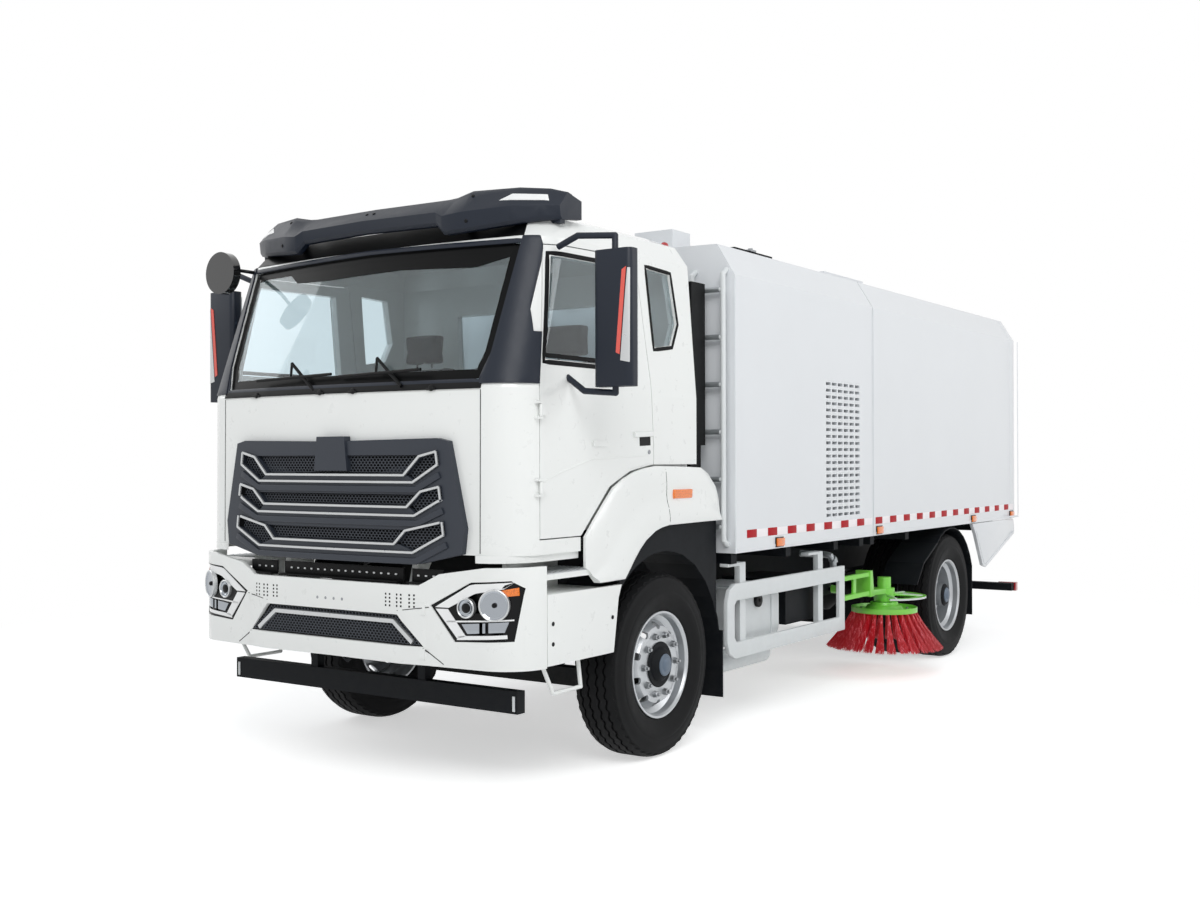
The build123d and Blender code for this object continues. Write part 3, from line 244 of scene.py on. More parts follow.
# %% Finishes
# name, colour, roughness, grain in mm, depth of the grain in mm
enamel_white = finish("cab_white_acrylic_enamel", "F0F2F0", 0.28, 9, 0.08, drift=0.010, coat=0.6,
                      dust=0.015)
enamel_body = finish("body_white_acrylic_enamel", "E4E7EA", 0.30, 11, 0.10, drift=0.02, coat=0.5, dust=0.02)
enamel_grey = finish("guard_grey_powder_coat", "DFE3E4", 0.42, 3, 0.10, drift=0.03, dust=0.10)
enamel_black = finish("black_chassis_enamel", "0A0E13", 0.6, 2, 0.12, drift=0.2, dust=0.03, shine=0.15)
cast_iron = finish("cast_iron_painted", "101214", 0.62, 1.5, 0.25, drift=0.2, dust=0.08, shine=0.2)
rubber = finish("vulcanised_rubber", "0A0B0D", 0.66, 0.9, 0.10, drift=0.12, dust=0.012, shine=0.16)
rim_enamel = finish("silver_wheel_enamel", "B9BCBF", 0.34, 1.2, 0.06, drift=0.04, metallic=0.75, dust=0.10)
polypropylene = finish("blue_black_polypropylene", "141C29", 0.42, 1.4, 0.10, drift=0.06, dust=0.01,
                       shine=0.35)
black_abs = finish("black_abs", "08090B", 0.5, 1.4, 0.10, drift=0.08, dust=0.02, shine=0.2)
mesh_abs = finish("honeycomb_grey_abs", "4B4F56", 0.5, 1.4, 0.08, drift=0.05, dust=0.0, shine=0.3)
mirror_back = finish("gloss_black_mirror_back", "07080A", 0.12, 30, 0.02, drift=0.02, coat=1.0, dust=0.0,
                     shine=0.5)
charcoal_abs = finish("charcoal_abs", "2F343D", 0.42, 1.4, 0.12, drift=0.05, dust=0.01, shine=0.4)
satin_trim = finish("satin_chrome_plated_abs", "C9CBCC", 0.28, 0.6, 0.02, drift=0.02, metallic=0.7,
                    dust=0.0)
cabin_abs = finish("cabin_grey_abs", "4A4E54", 0.6, 1.2, 0.12, drift=0.05, dust=0.0)
galvanised = finish("galvanised_steel", "A4A9AC", 0.45, 18, 0.05, drift=0.12, metallic=0.8, dust=0.1)
green_enamel = finish("lime_green_enamel", "84DC4E", 0.38, 6, 0.14, drift=0.05, coat=0.3, dust=0.04)
zinc = finish("zinc_plated_steel", "9A9DA0", 0.35, 0.6, 0.03, drift=0.08, metallic=0.9, dust=0.1)
hub_enamel = finish("blue_grey_hub_enamel", "5E6C7C", 0.4, 3, 0.1, drift=0.06, metallic=0.3, dust=0.1)
shadow_black = finish("seam_shadow", "0C0D0F", 0.8, 2, 0.05, drift=0.1, dust=0.0, shine=0.1)
black_gloss = finish("black_lamp_housing", "08090B", 0.35, 8, 0.03, drift=0.05, dust=0.0, shine=0.2)
ceramic_black = finish("ceramic_screen_print", "030405", 0.3, 6, 0.01, drift=0.05, dust=0.0, shine=0.12)
chrome = finish("vapour_chromed_reflector", "A3A8AE", 0.08, 4, 0.01, drift=0.02, metallic=1.0, dust=0.0)
mirror_silver = finish("silvered_mirror_glass", "E6EAEC", 0.02, 20, 0.002, drift=0.01, metallic=1.0,
                       dust=0.0)
lamp_milk = finish("opal_acrylic", "F4F5F5", 0.18, 5, 0.02, drift=0.01, coat=0.6, dust=0.0)
coral_acrylic = finish("coral_reflector_acrylic", "E4574A", 0.2, 3, 0.1, drift=0.06, coat=0.5, dust=0.0)
tape_red = finish("red_retroreflective_sheet", "B00A18", 0.45, 40, 0.02, drift=0.03, dust=0.0, shine=0.15)
tape_white = finish("white_retroreflective_sheet", "FBF6F8", 0.4, 40, 0.02, drift=0.01, dust=0.0)
chequer = finish("aluminium_chequer_plate", "B4B7B9", 0.36, 1.5, 0.06, drift=0.06, metallic=0.85, dust=0.12)


WAVE_SCALE = 314


def woven(name, colour, thread_mm):
    material, tree, place = blank_material(name)
    waves = {"Vector": place, "Scale": WAVE_SCALE / thread_mm, "Distortion": 0.4}
    warp, weft = [add(tree, "ShaderNodeTexWave", waves, bands_direction=way) for way in ("X", "Z")]
    crossing = {0: warp.outputs["Fac"], 1: weft.outputs["Fac"]}
    weave = add(tree, "ShaderNodeMath", crossing, operation="MULTIPLY")
    base = linear(colour)
    tone = add(tree, "ShaderNodeMix", {0: weave.outputs[0], 6: faded(base, 0.6), 7: base}, data_type="RGBA")
    bump = add(tree, "ShaderNodeBump", {"Height": weave.outputs[0], "Distance": 0.5 * MM, "Strength": 0.7})
    shader = add(tree, "ShaderNodeBsdfPrincipled", {
        "Base Color": tone.outputs[2], "Roughness": 0.85, "Sheen Weight": 0.3, "Normal": bump.outputs[0]})
    add(tree, "ShaderNodeOutputMaterial", {"Surface": shader.outputs[0]})
    return material


seat_cloth = woven("woven_seat_cloth", "3A3D42", 2.4)
print("plain finishes:", len(bpy.data.materials))

# %% [markdown]
# Glass lets light pass: a windscreen is laminated float glass with a faint blue-green
# tint. Markers are coloured acrylic with moulded prisms on the inside, and their lenses
# get a little emission: painted light that stands in for the light the prisms catch in
# shade. Bristles are drawn polypropylene, paler along some strands than others, with a
# faint emission that is painted light too.


# %% Clear finishes
def clear(name, colour, rough, ior):
    material, tree, place = blank_material(name)
    smear = add(tree, "ShaderNodeTexNoise", {"Vector": place, "Scale": 6.0, "Detail": 6.0})
    gloss = add(tree, "ShaderNodeMapRange", {
        "Value": smear.outputs["Fac"], "From Min": 0.45, "From Max": 0.8,
        "To Min": rough, "To Max": rough + 0.04})
    shader = add(tree, "ShaderNodeBsdfPrincipled", {
        "Base Color": linear(colour), "Roughness": gloss.outputs[0],
        "Transmission Weight": 1.0, "IOR": ior})
    add(tree, "ShaderNodeOutputMaterial", {"Surface": shader.outputs[0]})
    return material


screen_glass = clear("laminated_float_glass", "E3EEF2", 0.0, 1.45)


PRISM_DEEP_MM = 0.6


def coloured_lens(name, colour, prism_mm, glow):
    material, tree, place = blank_material(name)
    prism = add(tree, "ShaderNodeTexVoronoi", {"Vector": place, "Scale": 1000 / prism_mm})
    base = linear(colour)
    tone = add(tree, "ShaderNodeMix", {0: prism.outputs["Distance"], 6: base, 7: faded(base, 0.55)},
               data_type="RGBA")
    relief = {"Height": prism.outputs["Distance"], "Distance": PRISM_DEEP_MM * MM, "Strength": 0.6}
    bump = add(tree, "ShaderNodeBump", relief)
    # the emission is painted light: it stands in for light the prisms catch, as these lamps are not lit
    shader = add(tree, "ShaderNodeBsdfPrincipled", {
        "Base Color": tone.outputs[2], "Roughness": 0.2, "Coat Weight": 0.8, "Normal": bump.outputs[0],
        "Emission Color": tone.outputs[2], "Emission Strength": glow})
    add(tree, "ShaderNodeOutputMaterial", {"Surface": shader.outputs[0]})
    return material


# the last number of each lens is its painted glow
lens_amber = coloured_lens("amber_acrylic", "F07A12", 7, 0.25)
lens_red = coloured_lens("red_acrylic", "B8121C", 7, 0.12)


def bristle_plastic(name, deep, pale, strand_mm):
    material, tree, place = blank_material(name)
    squeezed = add(tree, "ShaderNodeMapping", {"Vector": place, "Scale": (1.0, 1.0, 0.12)})
    strand = add(tree, "ShaderNodeTexNoise", {
        "Vector": squeezed.outputs[0], "Scale": 1000 / strand_mm, "Detail": 2.0})
    share = add(tree, "ShaderNodeMapRange", {
        "Value": strand.outputs["Fac"], "From Min": 0.54, "From Max": 0.76})
    tone = add(tree, "ShaderNodeMix", {0: share.outputs[0], 6: linear(deep), 7: linear(pale)},
               data_type="RGBA")
    # the bristles are no lamp: their faint emission is painted light
    shader = add(tree, "ShaderNodeBsdfPrincipled", {
        "Base Color": tone.outputs[2], "Roughness": 0.45, "Sheen Weight": 0.2,
        "Emission Color": tone.outputs[2], "Emission Strength": 0.12})
    add(tree, "ShaderNodeOutputMaterial", {"Surface": shader.outputs[0]})
    return material


bristle = bristle_plastic("crimson_polypropylene_bristle", "B80018", "EE7F8C", 16)

# %% Finish of every CAD node
node_finish = {
    enamel_white: ["cab_shell", "front_panel", "front_bumper", "front_fenders", "door_left", "door_right",
                   "steps"],
    enamel_body: ["machine_housing", "hopper_shell", "tailgate", "roof_box", "rear_skirts"],
    enamel_grey: ["side_guards", "tanks", "ladder"],
    enamel_black: ["side_boxes", "chassis_frame", "sub_frame", "underrun_bars", "arch_liners",
                   "rear_mudguards", "roof_lid", "suction_nozzle", "swing_arm_left", "swing_arm_right"],
    cast_iron: ["front_axle", "leaf_springs", "rear_axle", "engine_blocks", "knuckle_left",
                "knuckle_right", "silencer"],
    rubber: ["tyre_front_left", "tyre_front_right", "tyres_rear_left", "tyres_rear_right"],
    rim_enamel: ["rim_front_left", "rim_front_right", "rim_rear_left", "rim_rear_right"],
    polypropylene: ["sun_visor", "mirror_left", "mirror_right"],
    black_abs: ["wipers", "bumper_mesh", "intake_stack"],
    mirror_back: ["front_mirror"],
    charcoal_abs: ["grille"],
    cabin_abs: ["dashboard", "seats"],
    screen_glass: ["cab_glass", "door_glass_left", "door_glass_right"],
    black_gloss: ["lamps"],
    green_enamel: ["lift_arm_left", "lift_arm_right"],
    lens_red: ["brush_left", "brush_right"],
}
for material, names in node_finish.items():
    for name in names:
        mesh = nodes[name].data
        mesh.materials.clear()
        mesh.materials.append(material)
left_over = sorted(set(nodes) - {n for names in node_finish.values() for n in names})
print("nodes with no finish:", left_over)

# %% [markdown]
# Every added piece is made of forms. A form is a list of corners and a list of faces, and
# almost all of them are lofts: rows of corners joined in order. Sizes are millimetres from
# the ground under the middle of the front axle, the way a chassis drawing gives them.


# %% Forms
def spot(x, y, z):
    return Vector((x, y, z)) * MM - Vector((0, MIDDLE, 0))


def turns(count):
    return [2 * math.pi * i / count for i in range(count)]


def loft(rows, closed=False):
    n = len(rows[0])
    corners = [corner for row in rows for corner in row]
    faces = []
    for i in range(len(rows) if closed else len(rows) - 1):
        a, b = i * n, (i + 1) % len(rows) * n
        faces += [(a + j, a + (j + 1) % n, b + (j + 1) % n, b + j) for j in range(n)]
    if not closed:
        faces += [tuple(range(n)), tuple(range(len(corners) - n, len(corners)))]
    return corners, faces


def slab(low, high):
    (x0, y0, z0), (x1, y1, z1) = low, high
    ring = ((x0, z0), (x1, z0), (x1, z1), (x0, z1))
    return loft([[spot(x, y, z) for x, z in ring] for y in (y0, y1)])


# a direction that no tube runs along
NO_TUBE_WAY = Vector((0.12, 0.31, 0.94))


def tube(points, r, sides=12):
    rows = []
    for i, point in enumerate(points):
        ahead = (points[min(i + 1, len(points) - 1)] - points[max(i - 1, 0)]).normalized()
        u = ahead.cross(NO_TUBE_WAY).normalized()
        v = ahead.cross(u)
        rows.append([point + (u * math.cos(a) + v * math.sin(a)) * r * MM for a in turns(sides)])
    return loft(rows)


def turned(profile, centre, axis=(1, 0, 0), count=48):
    axis = Vector(axis).normalized()
    u = axis.orthogonal().normalized()
    v = axis.cross(u)
    rows = []
    for a in turns(count):
        out = u * math.cos(a) + v * math.sin(a)
        rows.append([centre + (axis * along + out * r) * MM for along, r in profile])
    return loft(rows, closed=True)


def mirrored(forms):
    return [([Vector((-p.x, p.y, p.z)) for p in corners], faces) for corners, faces in forms]


print("forms: loft, slab, tube, turned, mirrored")


# %% [markdown]
# A piece joins its forms in one mesh, rounds the sharp edges as a mould or a press would,
# smooths the shading between them, and then rides on the body that carries it.


# %% Pieces
SHARP_RAD = 0.55
SMOOTH_DEG = 32
WELD_M, CAD_WELD_M = 0.00002, 0.00005
FLAT_DEG = 0.4


def dressed(name, bm, materials, body, bevel_mm):
    bmesh.ops.remove_doubles(bm, verts=bm.verts, dist=WELD_M)
    bmesh.ops.recalc_face_normals(bm, faces=bm.faces)
    if bevel_mm:
        sharp = [e for e in bm.edges if e.is_manifold and e.calc_face_angle(0) > SHARP_RAD]
        bmesh.ops.bevel(bm, geom=sharp, offset=bevel_mm * MM, segments=2, profile=0.6, affect="EDGES",
                        clamp_overlap=True)
    mesh = bpy.data.meshes.new(name)
    bm.to_mesh(mesh)
    bm.free()
    mesh.polygons.foreach_set("use_smooth", [True] * len(mesh.polygons))
    mesh.set_sharp_from_angle(angle=math.radians(SMOOTH_DEG))
    for material in materials:
        mesh.materials.append(material)
    made = bpy.data.objects.new(name, mesh)
    bpy.context.scene.collection.objects.link(made)
    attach(made, body)
    return made


def piece(name, forms, material, body, bevel_mm=0.0):
    bm = bmesh.new()
    for corners, faces in forms:
        verts = [bm.verts.new(corner) for corner in corners]
        for face in faces:
            bm.faces.new([verts[i] for i in face])
    return dressed(name, bm, [material], body, bevel_mm)


def stands_for(node, name, body, materials, choose=None, bevel_mm=1.5):
    bm = bmesh.new()
    bm.from_mesh(nodes[node].data)
    bmesh.ops.remove_doubles(bm, verts=bm.verts, dist=CAD_WELD_M)
    bmesh.ops.dissolve_limit(bm, angle_limit=math.radians(FLAT_DEG), verts=bm.verts, edges=bm.edges)
    for face in bm.faces:
        face.material_index = choose(face.calc_center_median()) if choose else 0
    made = dressed(name, bm, materials, body, bevel_mm)
    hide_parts(node)
    return made


print("pieces are ready to be made")

# %% [markdown]
# Trim has to lie on the panel under it, so its line is cast onto the CAD surface. `on`
# gives the place and the outward normal that a ray meets, `seen` does the same for a
# pixel of the photograph, `laid` bends a strip over a surface and `plate` a wider cover.

# %% Lying on the surface
CAST_BACK_M = 3
skins = {}


def skin(name):
    if name not in skins:
        mesh = nodes[name].data
        skins[name] = BVHTree.FromPolygons([v.co for v in mesh.vertices],
                                           [p.vertices[:] for p in mesh.polygons])
    return skins[name]


def on(name, point, look):
    look = Vector(look).normalized()
    place, normal = skin(name).ray_cast(point - look * CAST_BACK_M, look)[:2]
    if place is None:
        print("off the surface:", name, [round(c, 3) for c in point])
        return point, -look
    return place, (normal if normal.dot(look) < 0 else -normal)


def seen(name, px, py):
    look = pixel_look(px, py).normalized()
    place, normal = skin(name).ray_cast(camera.matrix_world.translation, look)[:2]
    if place is None:
        print("not met in the picture:", name, px, py)
        return None, None
    return place, (normal if normal.dot(look) < 0 else -normal)


def along(line, share):
    lengths = [(q - p).length for p, q in zip(line, line[1:])]
    left = share * sum(lengths)
    for (p, q), length in zip(zip(line, line[1:]), lengths):
        if left <= length or q is line[-1]:
            return p.lerp(q, min(1, left / length))
        left -= length


def laid(name, path, look, width, proud, step=40, sink=2, closed=False):
    ends = path + path[:1] if closed else path
    line = []
    for p, q in zip(ends, ends[1:]):
        count = max(1, round((q - p).length / (step * MM)))
        line += [p.lerp(q, i / count) for i in range(count)]
    line += [] if closed else [ends[-1]]
    hits = [on(name, p, look) for p in line]
    rows = []
    last = len(hits) - 1
    for i, (place, normal) in enumerate(hits):
        before = hits[i - 1][0] if i or closed else place
        after = hits[(i + 1) % len(hits)][0] if i < last or closed else place
        side = (after - before).cross(normal).normalized() * width / 2 * MM
        top, low = normal * proud * MM, -normal * sink * MM
        rows.append([place - side + low, place - side + top * 0.6, place - side * 0.8 + top,
                     place + side * 0.8 + top, place + side + top * 0.6, place + side + low])
    return loft(rows, closed=closed)


def plate(name, low_line, high_line, look, proud, columns=24, rungs=3, sink=2):
    rows = []
    for j in range(columns + 1):
        low, high = along(low_line, j / columns), along(high_line, j / columns)
        hits = [on(name, low.lerp(high, k / rungs), look) for k in range(rungs + 1)]
        front = [place + normal * proud * MM for place, normal in hits]
        rows.append(front + [place - normal * sink * MM for place, normal in reversed(hits)])
    return loft(rows)


def knob(place, normal, profile, count=20):
    return turned(profile, place, normal, count)


AHEAD, ASIDE = (0, 1, 0), (-1, 0, 0)
print("surface helpers are ready")

# %% [markdown]
# Two small node trees make everything that repeats. `ring` turns copies of a unit about
# an axis, with a little fixed-seed jitter where wanted, and `grid` steps them in rows and
# columns. The result is kept as a plain mesh.


# %% Repeats
def node_tree(name, inputs):
    tree = bpy.data.node_groups.new(name, "GeometryNodeTree")
    tree.interface.new_socket("Geometry", in_out="OUTPUT", socket_type="NodeSocketGeometry")
    tree.interface.new_socket("Geometry", in_out="INPUT", socket_type="NodeSocketGeometry")
    for label, kind in inputs:
        tree.interface.new_socket(label, in_out="INPUT", socket_type="NodeSocket" + kind)
    return tree, add(tree, "NodeGroupInput").outputs


def close_tree(tree, given, points, unit, turn=None):
    sockets = {"Points": points, "Instance": unit}
    if turn:
        sockets["Rotation"] = turn
    copies = add(tree, "GeometryNodeInstanceOnPoints", sockets)
    real = add(tree, "GeometryNodeRealizeInstances", {"Geometry": copies.outputs[0]})
    painted = add(tree, "GeometryNodeSetMaterial", {
        "Geometry": real.outputs[0], "Material": given["Finish"]})
    add(tree, "NodeGroupOutput", {"Geometry": painted.outputs[0]})


def vector_math(tree, a, b, operation):
    key = "Scale" if operation == "SCALE" else 1
    return add(tree, "ShaderNodeVectorMath", {0: a, key: b}, operation=operation).outputs[0]


def plain_math(tree, a, b, operation):
    return add(tree, "ShaderNodeMath", {0: a, 1: b}, operation=operation).outputs[0]


ring, given = node_tree("ring", [("Count", "Int"), ("Centre", "Vector"), ("Turn", "Vector"),
                                 ("Jitter", "Vector"), ("Seed", "Int"), ("Finish", "Material")])
index = add(ring, "GeometryNodeInputIndex").outputs[0]
to_centre = vector_math(ring, given["Centre"], -1.0, "SCALE")
home = add(ring, "GeometryNodeTransform", {"Geometry": given["Geometry"], "Translation": to_centre})
points = add(ring, "GeometryNodePoints", {"Count": given["Count"], "Position": given["Centre"]})
turn_by = vector_math(ring, given["Turn"], plain_math(ring, index, given["Count"], "DIVIDE"), "SCALE")
back = vector_math(ring, given["Jitter"], -1.0, "SCALE")
spread = {"Min": back, "Max": given["Jitter"], "Seed": given["Seed"]}
loose = add(ring, "FunctionNodeRandomValue", spread, data_type="FLOAT_VECTOR")
turned_by = vector_math(ring, turn_by, loose.outputs[0], "ADD")
close_tree(ring, given, points.outputs[0], home.outputs[0], turned_by)

grid, given = node_tree("grid", [("Across", "Int"), ("Count", "Int"), ("Step", "Vector"),
                                 ("Row step", "Vector"), ("Stagger", "Vector"), ("Finish", "Material")])
index = add(grid, "GeometryNodeInputIndex").outputs[0]
row = plain_math(grid, plain_math(grid, index, given["Across"], "DIVIDE"), 0.0, "FLOOR")
odd = plain_math(grid, row, 2.0, "MODULO")
place = vector_math(grid, given["Step"], plain_math(grid, index, given["Across"], "MODULO"), "SCALE")
place = vector_math(grid, place, vector_math(grid, given["Row step"], row, "SCALE"), "ADD")
place = vector_math(grid, place, vector_math(grid, given["Stagger"], odd, "SCALE"), "ADD")
points = add(grid, "GeometryNodePoints", {"Count": given["Count"], "Position": place})
close_tree(grid, given, points.outputs[0], given["Geometry"])


def grown(unit, tree, **values):
    modifier = unit.modifiers.new("repeat", "NODES")
    modifier.node_group = tree
    material = unit.data.materials[0]
    identifiers = {s.name: s.identifier for s in tree.interface.items_tree if s.in_out == "INPUT"}
    values["Finish"] = material
    for key, value in values.items():
        modifier[identifiers[key.replace("_", " ")]] = value
    solid = bpy.data.meshes.new_from_object(unit.evaluated_get(bpy.context.evaluated_depsgraph_get()))
    unit.modifiers.remove(modifier)
    unit.data = solid
    solid.materials.clear()
    solid.materials.append(material)
    return unit


def rings(unit, count, centre, turn, jitter=(0, 0, 0), seed=7):
    return grown(unit, ring, Count=count, Centre=tuple(centre), Turn=turn, Jitter=jitter, Seed=seed)


def grids(unit, across, down, step, row_step, stagger=(0, 0, 0)):
    return grown(unit, grid, Across=across, Count=across * down, Step=step, Row_step=row_step,
                 Stagger=stagger)


TURN_X, TURN_Z = (2 * math.pi, 0, 0), (0, 0, 2 * math.pi)
print("node trees:", ring.name, grid.name)

# %% [markdown]
# Tyres: a casing with its bead, flexing zone and two mould rings, and a highway tread of
# five ribs between four zigzag grooves. One pitch of the ribs is modelled and turned about
# the axle, and the outer ribs carry the shoulder notches.

# %% Tyres
TYRE_R = 515
PITCHES = 48
GROOVE_R = 500
CROWN_FLAT, CROWN_FALL = 60, 0.0042
ZIGZAG, NOTCH_DEEP = 5, 9
side_profile = [(108, 286), (108, 298), (118, 312), (123, 325), (125, 333), (129, 345), (135, 364),
                (139, 378), (143, 396), (142.5, 412), (141.5, 414), (142, 418), (139, 440), (135, 458),
                (130, 474), (131, 478), (128, 488), (112, 499)]
casing_profile = [(-x, r) for x, r in side_profile]
casing_profile += [(-60, GROOVE_R + 1), (60, GROOVE_R + 1)] + side_profile[::-1]
ribs = [
    {"near": -126, "far": -82, "notch": -1},
    {"near": -71, "far": -34, "notch": 0},
    {"near": -22, "far": 22, "notch": 0},
    {"near": 34, "far": 71, "notch": 0},
    {"near": 82, "far": 126, "notch": 1},
]


def crown(x):
    return TYRE_R - max(0, abs(x) - CROWN_FLAT) ** 2 * CROWN_FALL


def tread_pitch(x, y):
    forms = []
    for rib in ribs:
        rows = []
        for share, way in ((0, 1), (0.22, 1), (0.5, -1), (0.78, -1), (1, 1)):
            a = 2 * math.pi * share / PITCHES
            notch = NOTCH_DEEP if way < 0 else 0
            near = rib["near"] + (way * ZIGZAG if rib["notch"] >= 0 else notch)
            far = rib["far"] + (way * ZIGZAG if rib["notch"] <= 0 else -notch)
            ring_of = [(near, GROOVE_R - 6), (near, crown(near) - 2), (near + 2, crown(near + 2)),
                       (far - 2, crown(far - 2)), (far, crown(far) - 2), (far, GROOVE_R - 6)]
            c, s = math.cos(a), math.sin(a)
            rows.append([spot(x + u, y + r * c, AXLE_Z / MM + r * s) for u, r in ring_of])
        forms.append(loft(rows))
    return forms


wheels = []
for axle, y, xs, plural in (("front", 0, (1020,), ""), ("rear", 4500, (1080, 750), "s")):
    for side, word in SIDES:
        name = axle + "_" + word
        node, body = "tyre" + plural + "_" + name, name + "_wheel" + plural
        wheels.append({"name": name, "node": node, "body": body, "xs": [side * x for x in xs], "y": y})
for wheel in wheels:
    y = wheel["y"]
    casings = [turned(casing_profile, spot(x, y, AXLE_Z / MM), count=96) for x in wheel["xs"]]
    casing = piece("casing_" + wheel["name"], casings, rubber, wheel["body"])
    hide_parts(wheel["node"])
    for place, x in enumerate(wheel["xs"]):
        name = "tread_" + wheel["name"] + "_" + str(place + 1)
        tread = piece(name, tread_pitch(x, y), rubber, wheel["body"])
        rings(tread, PITCHES, spot(x, y, AXLE_Z / MM), TURN_X)
print("tyres:", len(wheels), "with", PITCHES, "pitches each")

# %% [markdown]
# Wheel nuts are hexagons with a washer and the stud's end showing. The front hub carries a
# blue-grey grease cap in a dark recess; the rear hub stands out of its deep dish.

# %% Nuts and hub caps
NUT_CIRCLE_R = 168
NUTS, HUB_BOLTS, HUB_BOLT_R_M = 10, 8, 0.051
FRONT_HUB = {"seat": 1124, "face": 1160, "cone": [(-28, 96), (-20, 92), (0, 70)]}
REAR_HUB = {"seat": 947, "face": 1185, "cone": [(-15, 92), (-8, 86), (0, 78)]}
for wheel in wheels:
    side = 1 if wheel["xs"][0] > 0 else -1
    y, body = wheel["y"], wheel["body"]
    form = FRONT_HUB if y == 0 else REAR_HUB
    seat = form["seat"]
    place = spot(side * seat, y + NUT_CIRCLE_R, AXLE_Z / MM)
    nut = [(-4, 0), (-4, 23), (1, 23), (1, 19), (23, 18), (26, 15), (26, 10), (38, 10), (39, 8), (39, 0)]
    forms = [turned(nut, place, (side, 0, 0), 6)]
    nuts = piece("nuts_" + wheel["name"], forms, zinc, body, 0.6)
    rings(nuts, NUTS, spot(side * seat, y, AXLE_Z / MM), TURN_X)
    hub = spot(side * form["face"], y, AXLE_Z / MM)
    cap = [(-2, 0), (-2, 62), (6, 62), (12, 56), (14, 40), (20, 34), (24, 22), (24, 0)]
    piece("hub_cap_" + wheel["name"], [turned(cap, hub, (side, 0, 0), 40)], hub_enamel, body)
    cone = form["cone"]
    recess = [(u, r + 2) for u, r in cone] + [(3, cone[2][1] - 2), (3, 60), (-1, 60)]
    recess += [(u, r - 4) for u, r in cone[::-1]]
    piece("hub_ring_" + wheel["name"], [turned(recess, hub, (side, 0, 0), 40)], enamel_black, body)
    if y == 0:
        disc = on("rim_front_left", spot(0, 104, AXLE_Z / MM), ASIDE)[0].x
        well = [(-2, 66), (2, 66), (2, 124), (-2, 128)]
        well = turned(well, Vector((side * disc, hub.y, AXLE_Z)), (side, 0, 0), 48)
        print("wheel disc at", round(disc, 4))
        piece("hub_well_" + wheel["name"], [well], enamel_black, body)
    bolt = [(-1, 0), (-1, 7), (5, 7), (6, 5), (6, 0)]
    bolt = turned(bolt, hub + Vector((0, 0, HUB_BOLT_R_M)), (side, 0, 0), 6)
    rings(piece("hub_bolts_" + wheel["name"], [bolt], zinc, body), HUB_BOLTS, hub, TURN_X)
print("nuts and caps on", len(wheels), "wheels")

# %% [markdown]
# Painted sheet and moulded parts are shown by a copy of their CAD mesh with its edges
# rounded by a couple of millimetres, which is what catches the light on the real ones.

# %% Rounded copies of painted parts
# node, body, slot, finish, rounding in mm
rounded = [
    ("front_bumper", "chassis", "white_paint", enamel_white, 4),
    ("steps", "chassis", "white_paint", enamel_white, 3),
    ("side_guards", "chassis", "light_grey_paint", enamel_grey, 4),
    ("sun_visor", "cab", "blue_black_plastic", polypropylene, 3),
    ("front_panel", "cab", "white_paint", enamel_white, 3),
    ("mirror_left", "left_door", "blue_black_plastic", polypropylene, 6),
    ("mirror_right", "right_door", "blue_black_plastic", polypropylene, 6),
    ("rear_skirts", "chassis", "white_paint", enamel_body, 3),
    ("tailgate", "rear_gate", "white_paint", enamel_body, 4),
]
for node, body, slot, material, edge in rounded:
    stands_for(node, node + "_skin", body, [material], bevel_mm=edge)
print("rounded:", len(rounded))

# %% [markdown]
# The grille is a slate frame over grey honeycomb. Each of the three openings has one
# bright trim along its top edge and one along its lower edge, and short bright end pieces.
# The block in the middle is plain.

# %% Grille
# each opening's edge along its top, its edge below, and where the middle mesh ends
grille_rows = [
    {"inner": [(503, 1597), (601, 1691), (708, 1715)], "outer": [(562, 1562), (717, 1651)],
     "top": (590, 1691)},
    {"inner": [(522, 1438), (611, 1516), (726, 1541)], "outer": [(571, 1396), (736, 1478)],
     "top": (572, 1494)},
    {"inner": [(440, 1251), (512, 1320), (745, 1368)], "outer": [(561, 1212), (754, 1305)],
     "top": (496, 1318)},
]


CAB_FRONT_Y, BUMPER_FRONT_Y = -1500, -1700


def front_line(points, y=CAB_FRONT_Y):
    return [spot(x, y, z) for x, z in points]


def both_ways(points):
    return [(-x, z) for x, z in reversed(points)] + points


trims = []
for row in grille_rows:
    for edge in ("inner", "outer"):
        line = [(x, z - 6) for x, z in row[edge]]
        trims.append(laid("grille", front_line(both_ways(line)), AHEAD, 13, 5, step=20, sink=6))
    ends = [(row["inner"][-1][0], row["inner"][-1][1] - 6), (row["outer"][-1][0], row["outer"][-1][1] - 6)]
    trims += [laid("grille", front_line([(s * (x - 2), z) for x, z in ends]), AHEAD, 12, 6, step=900)
              for s in (LEFT, RIGHT)]
piece("grille_trims", trims, satin_trim, "cab")
bar_lines = [[(575, 1520), (722, 1594)], [(585, 1351), (742, 1418)], [(575, 1163), (765, 1250)]]
bars = [laid("grille", front_line(both_ways(line)), AHEAD, 34, 11, step=40) for line in bar_lines]
piece("grille_bars", bars, charcoal_abs, "cab", 3)

CELL_MM, STRETCH = 9, 1.5
CELL_WALL_MM, CELL_DEEP_MM = 1.7, 5
BLOCK_HALF_M = 0.13
COLUMN_M, FALLEN_M = 0.04, 0.018
BACK_PROUD_M, BACK_SINK_M = 0.0012, 0.001


def hexagon(x, y, z, r, wall, deep):
    rows = []
    for a in turns(6):
        c, s = math.sin(a), math.cos(a)
        out, back = r * STRETCH, (r - wall) * STRETCH
        rows.append([spot(x + c * out, y, z + s * r), spot(x + c * back, y, z + s * (r - wall)),
                     spot(x + c * back, y + deep, z + s * (r - wall)),
                     spot(x + c * out, y + deep, z + s * r)])
    return loft(rows, closed=True)


def inside(outline, x, z):
    hit = False
    for (x0, z0), (x1, z1) in zip(outline, outline[1:] + outline[:1]):
        if (z0 > z) != (z1 > z) and x < x0 + (x1 - x0) * (z - z0) / (z1 - z0):
            hit = not hit
    return hit


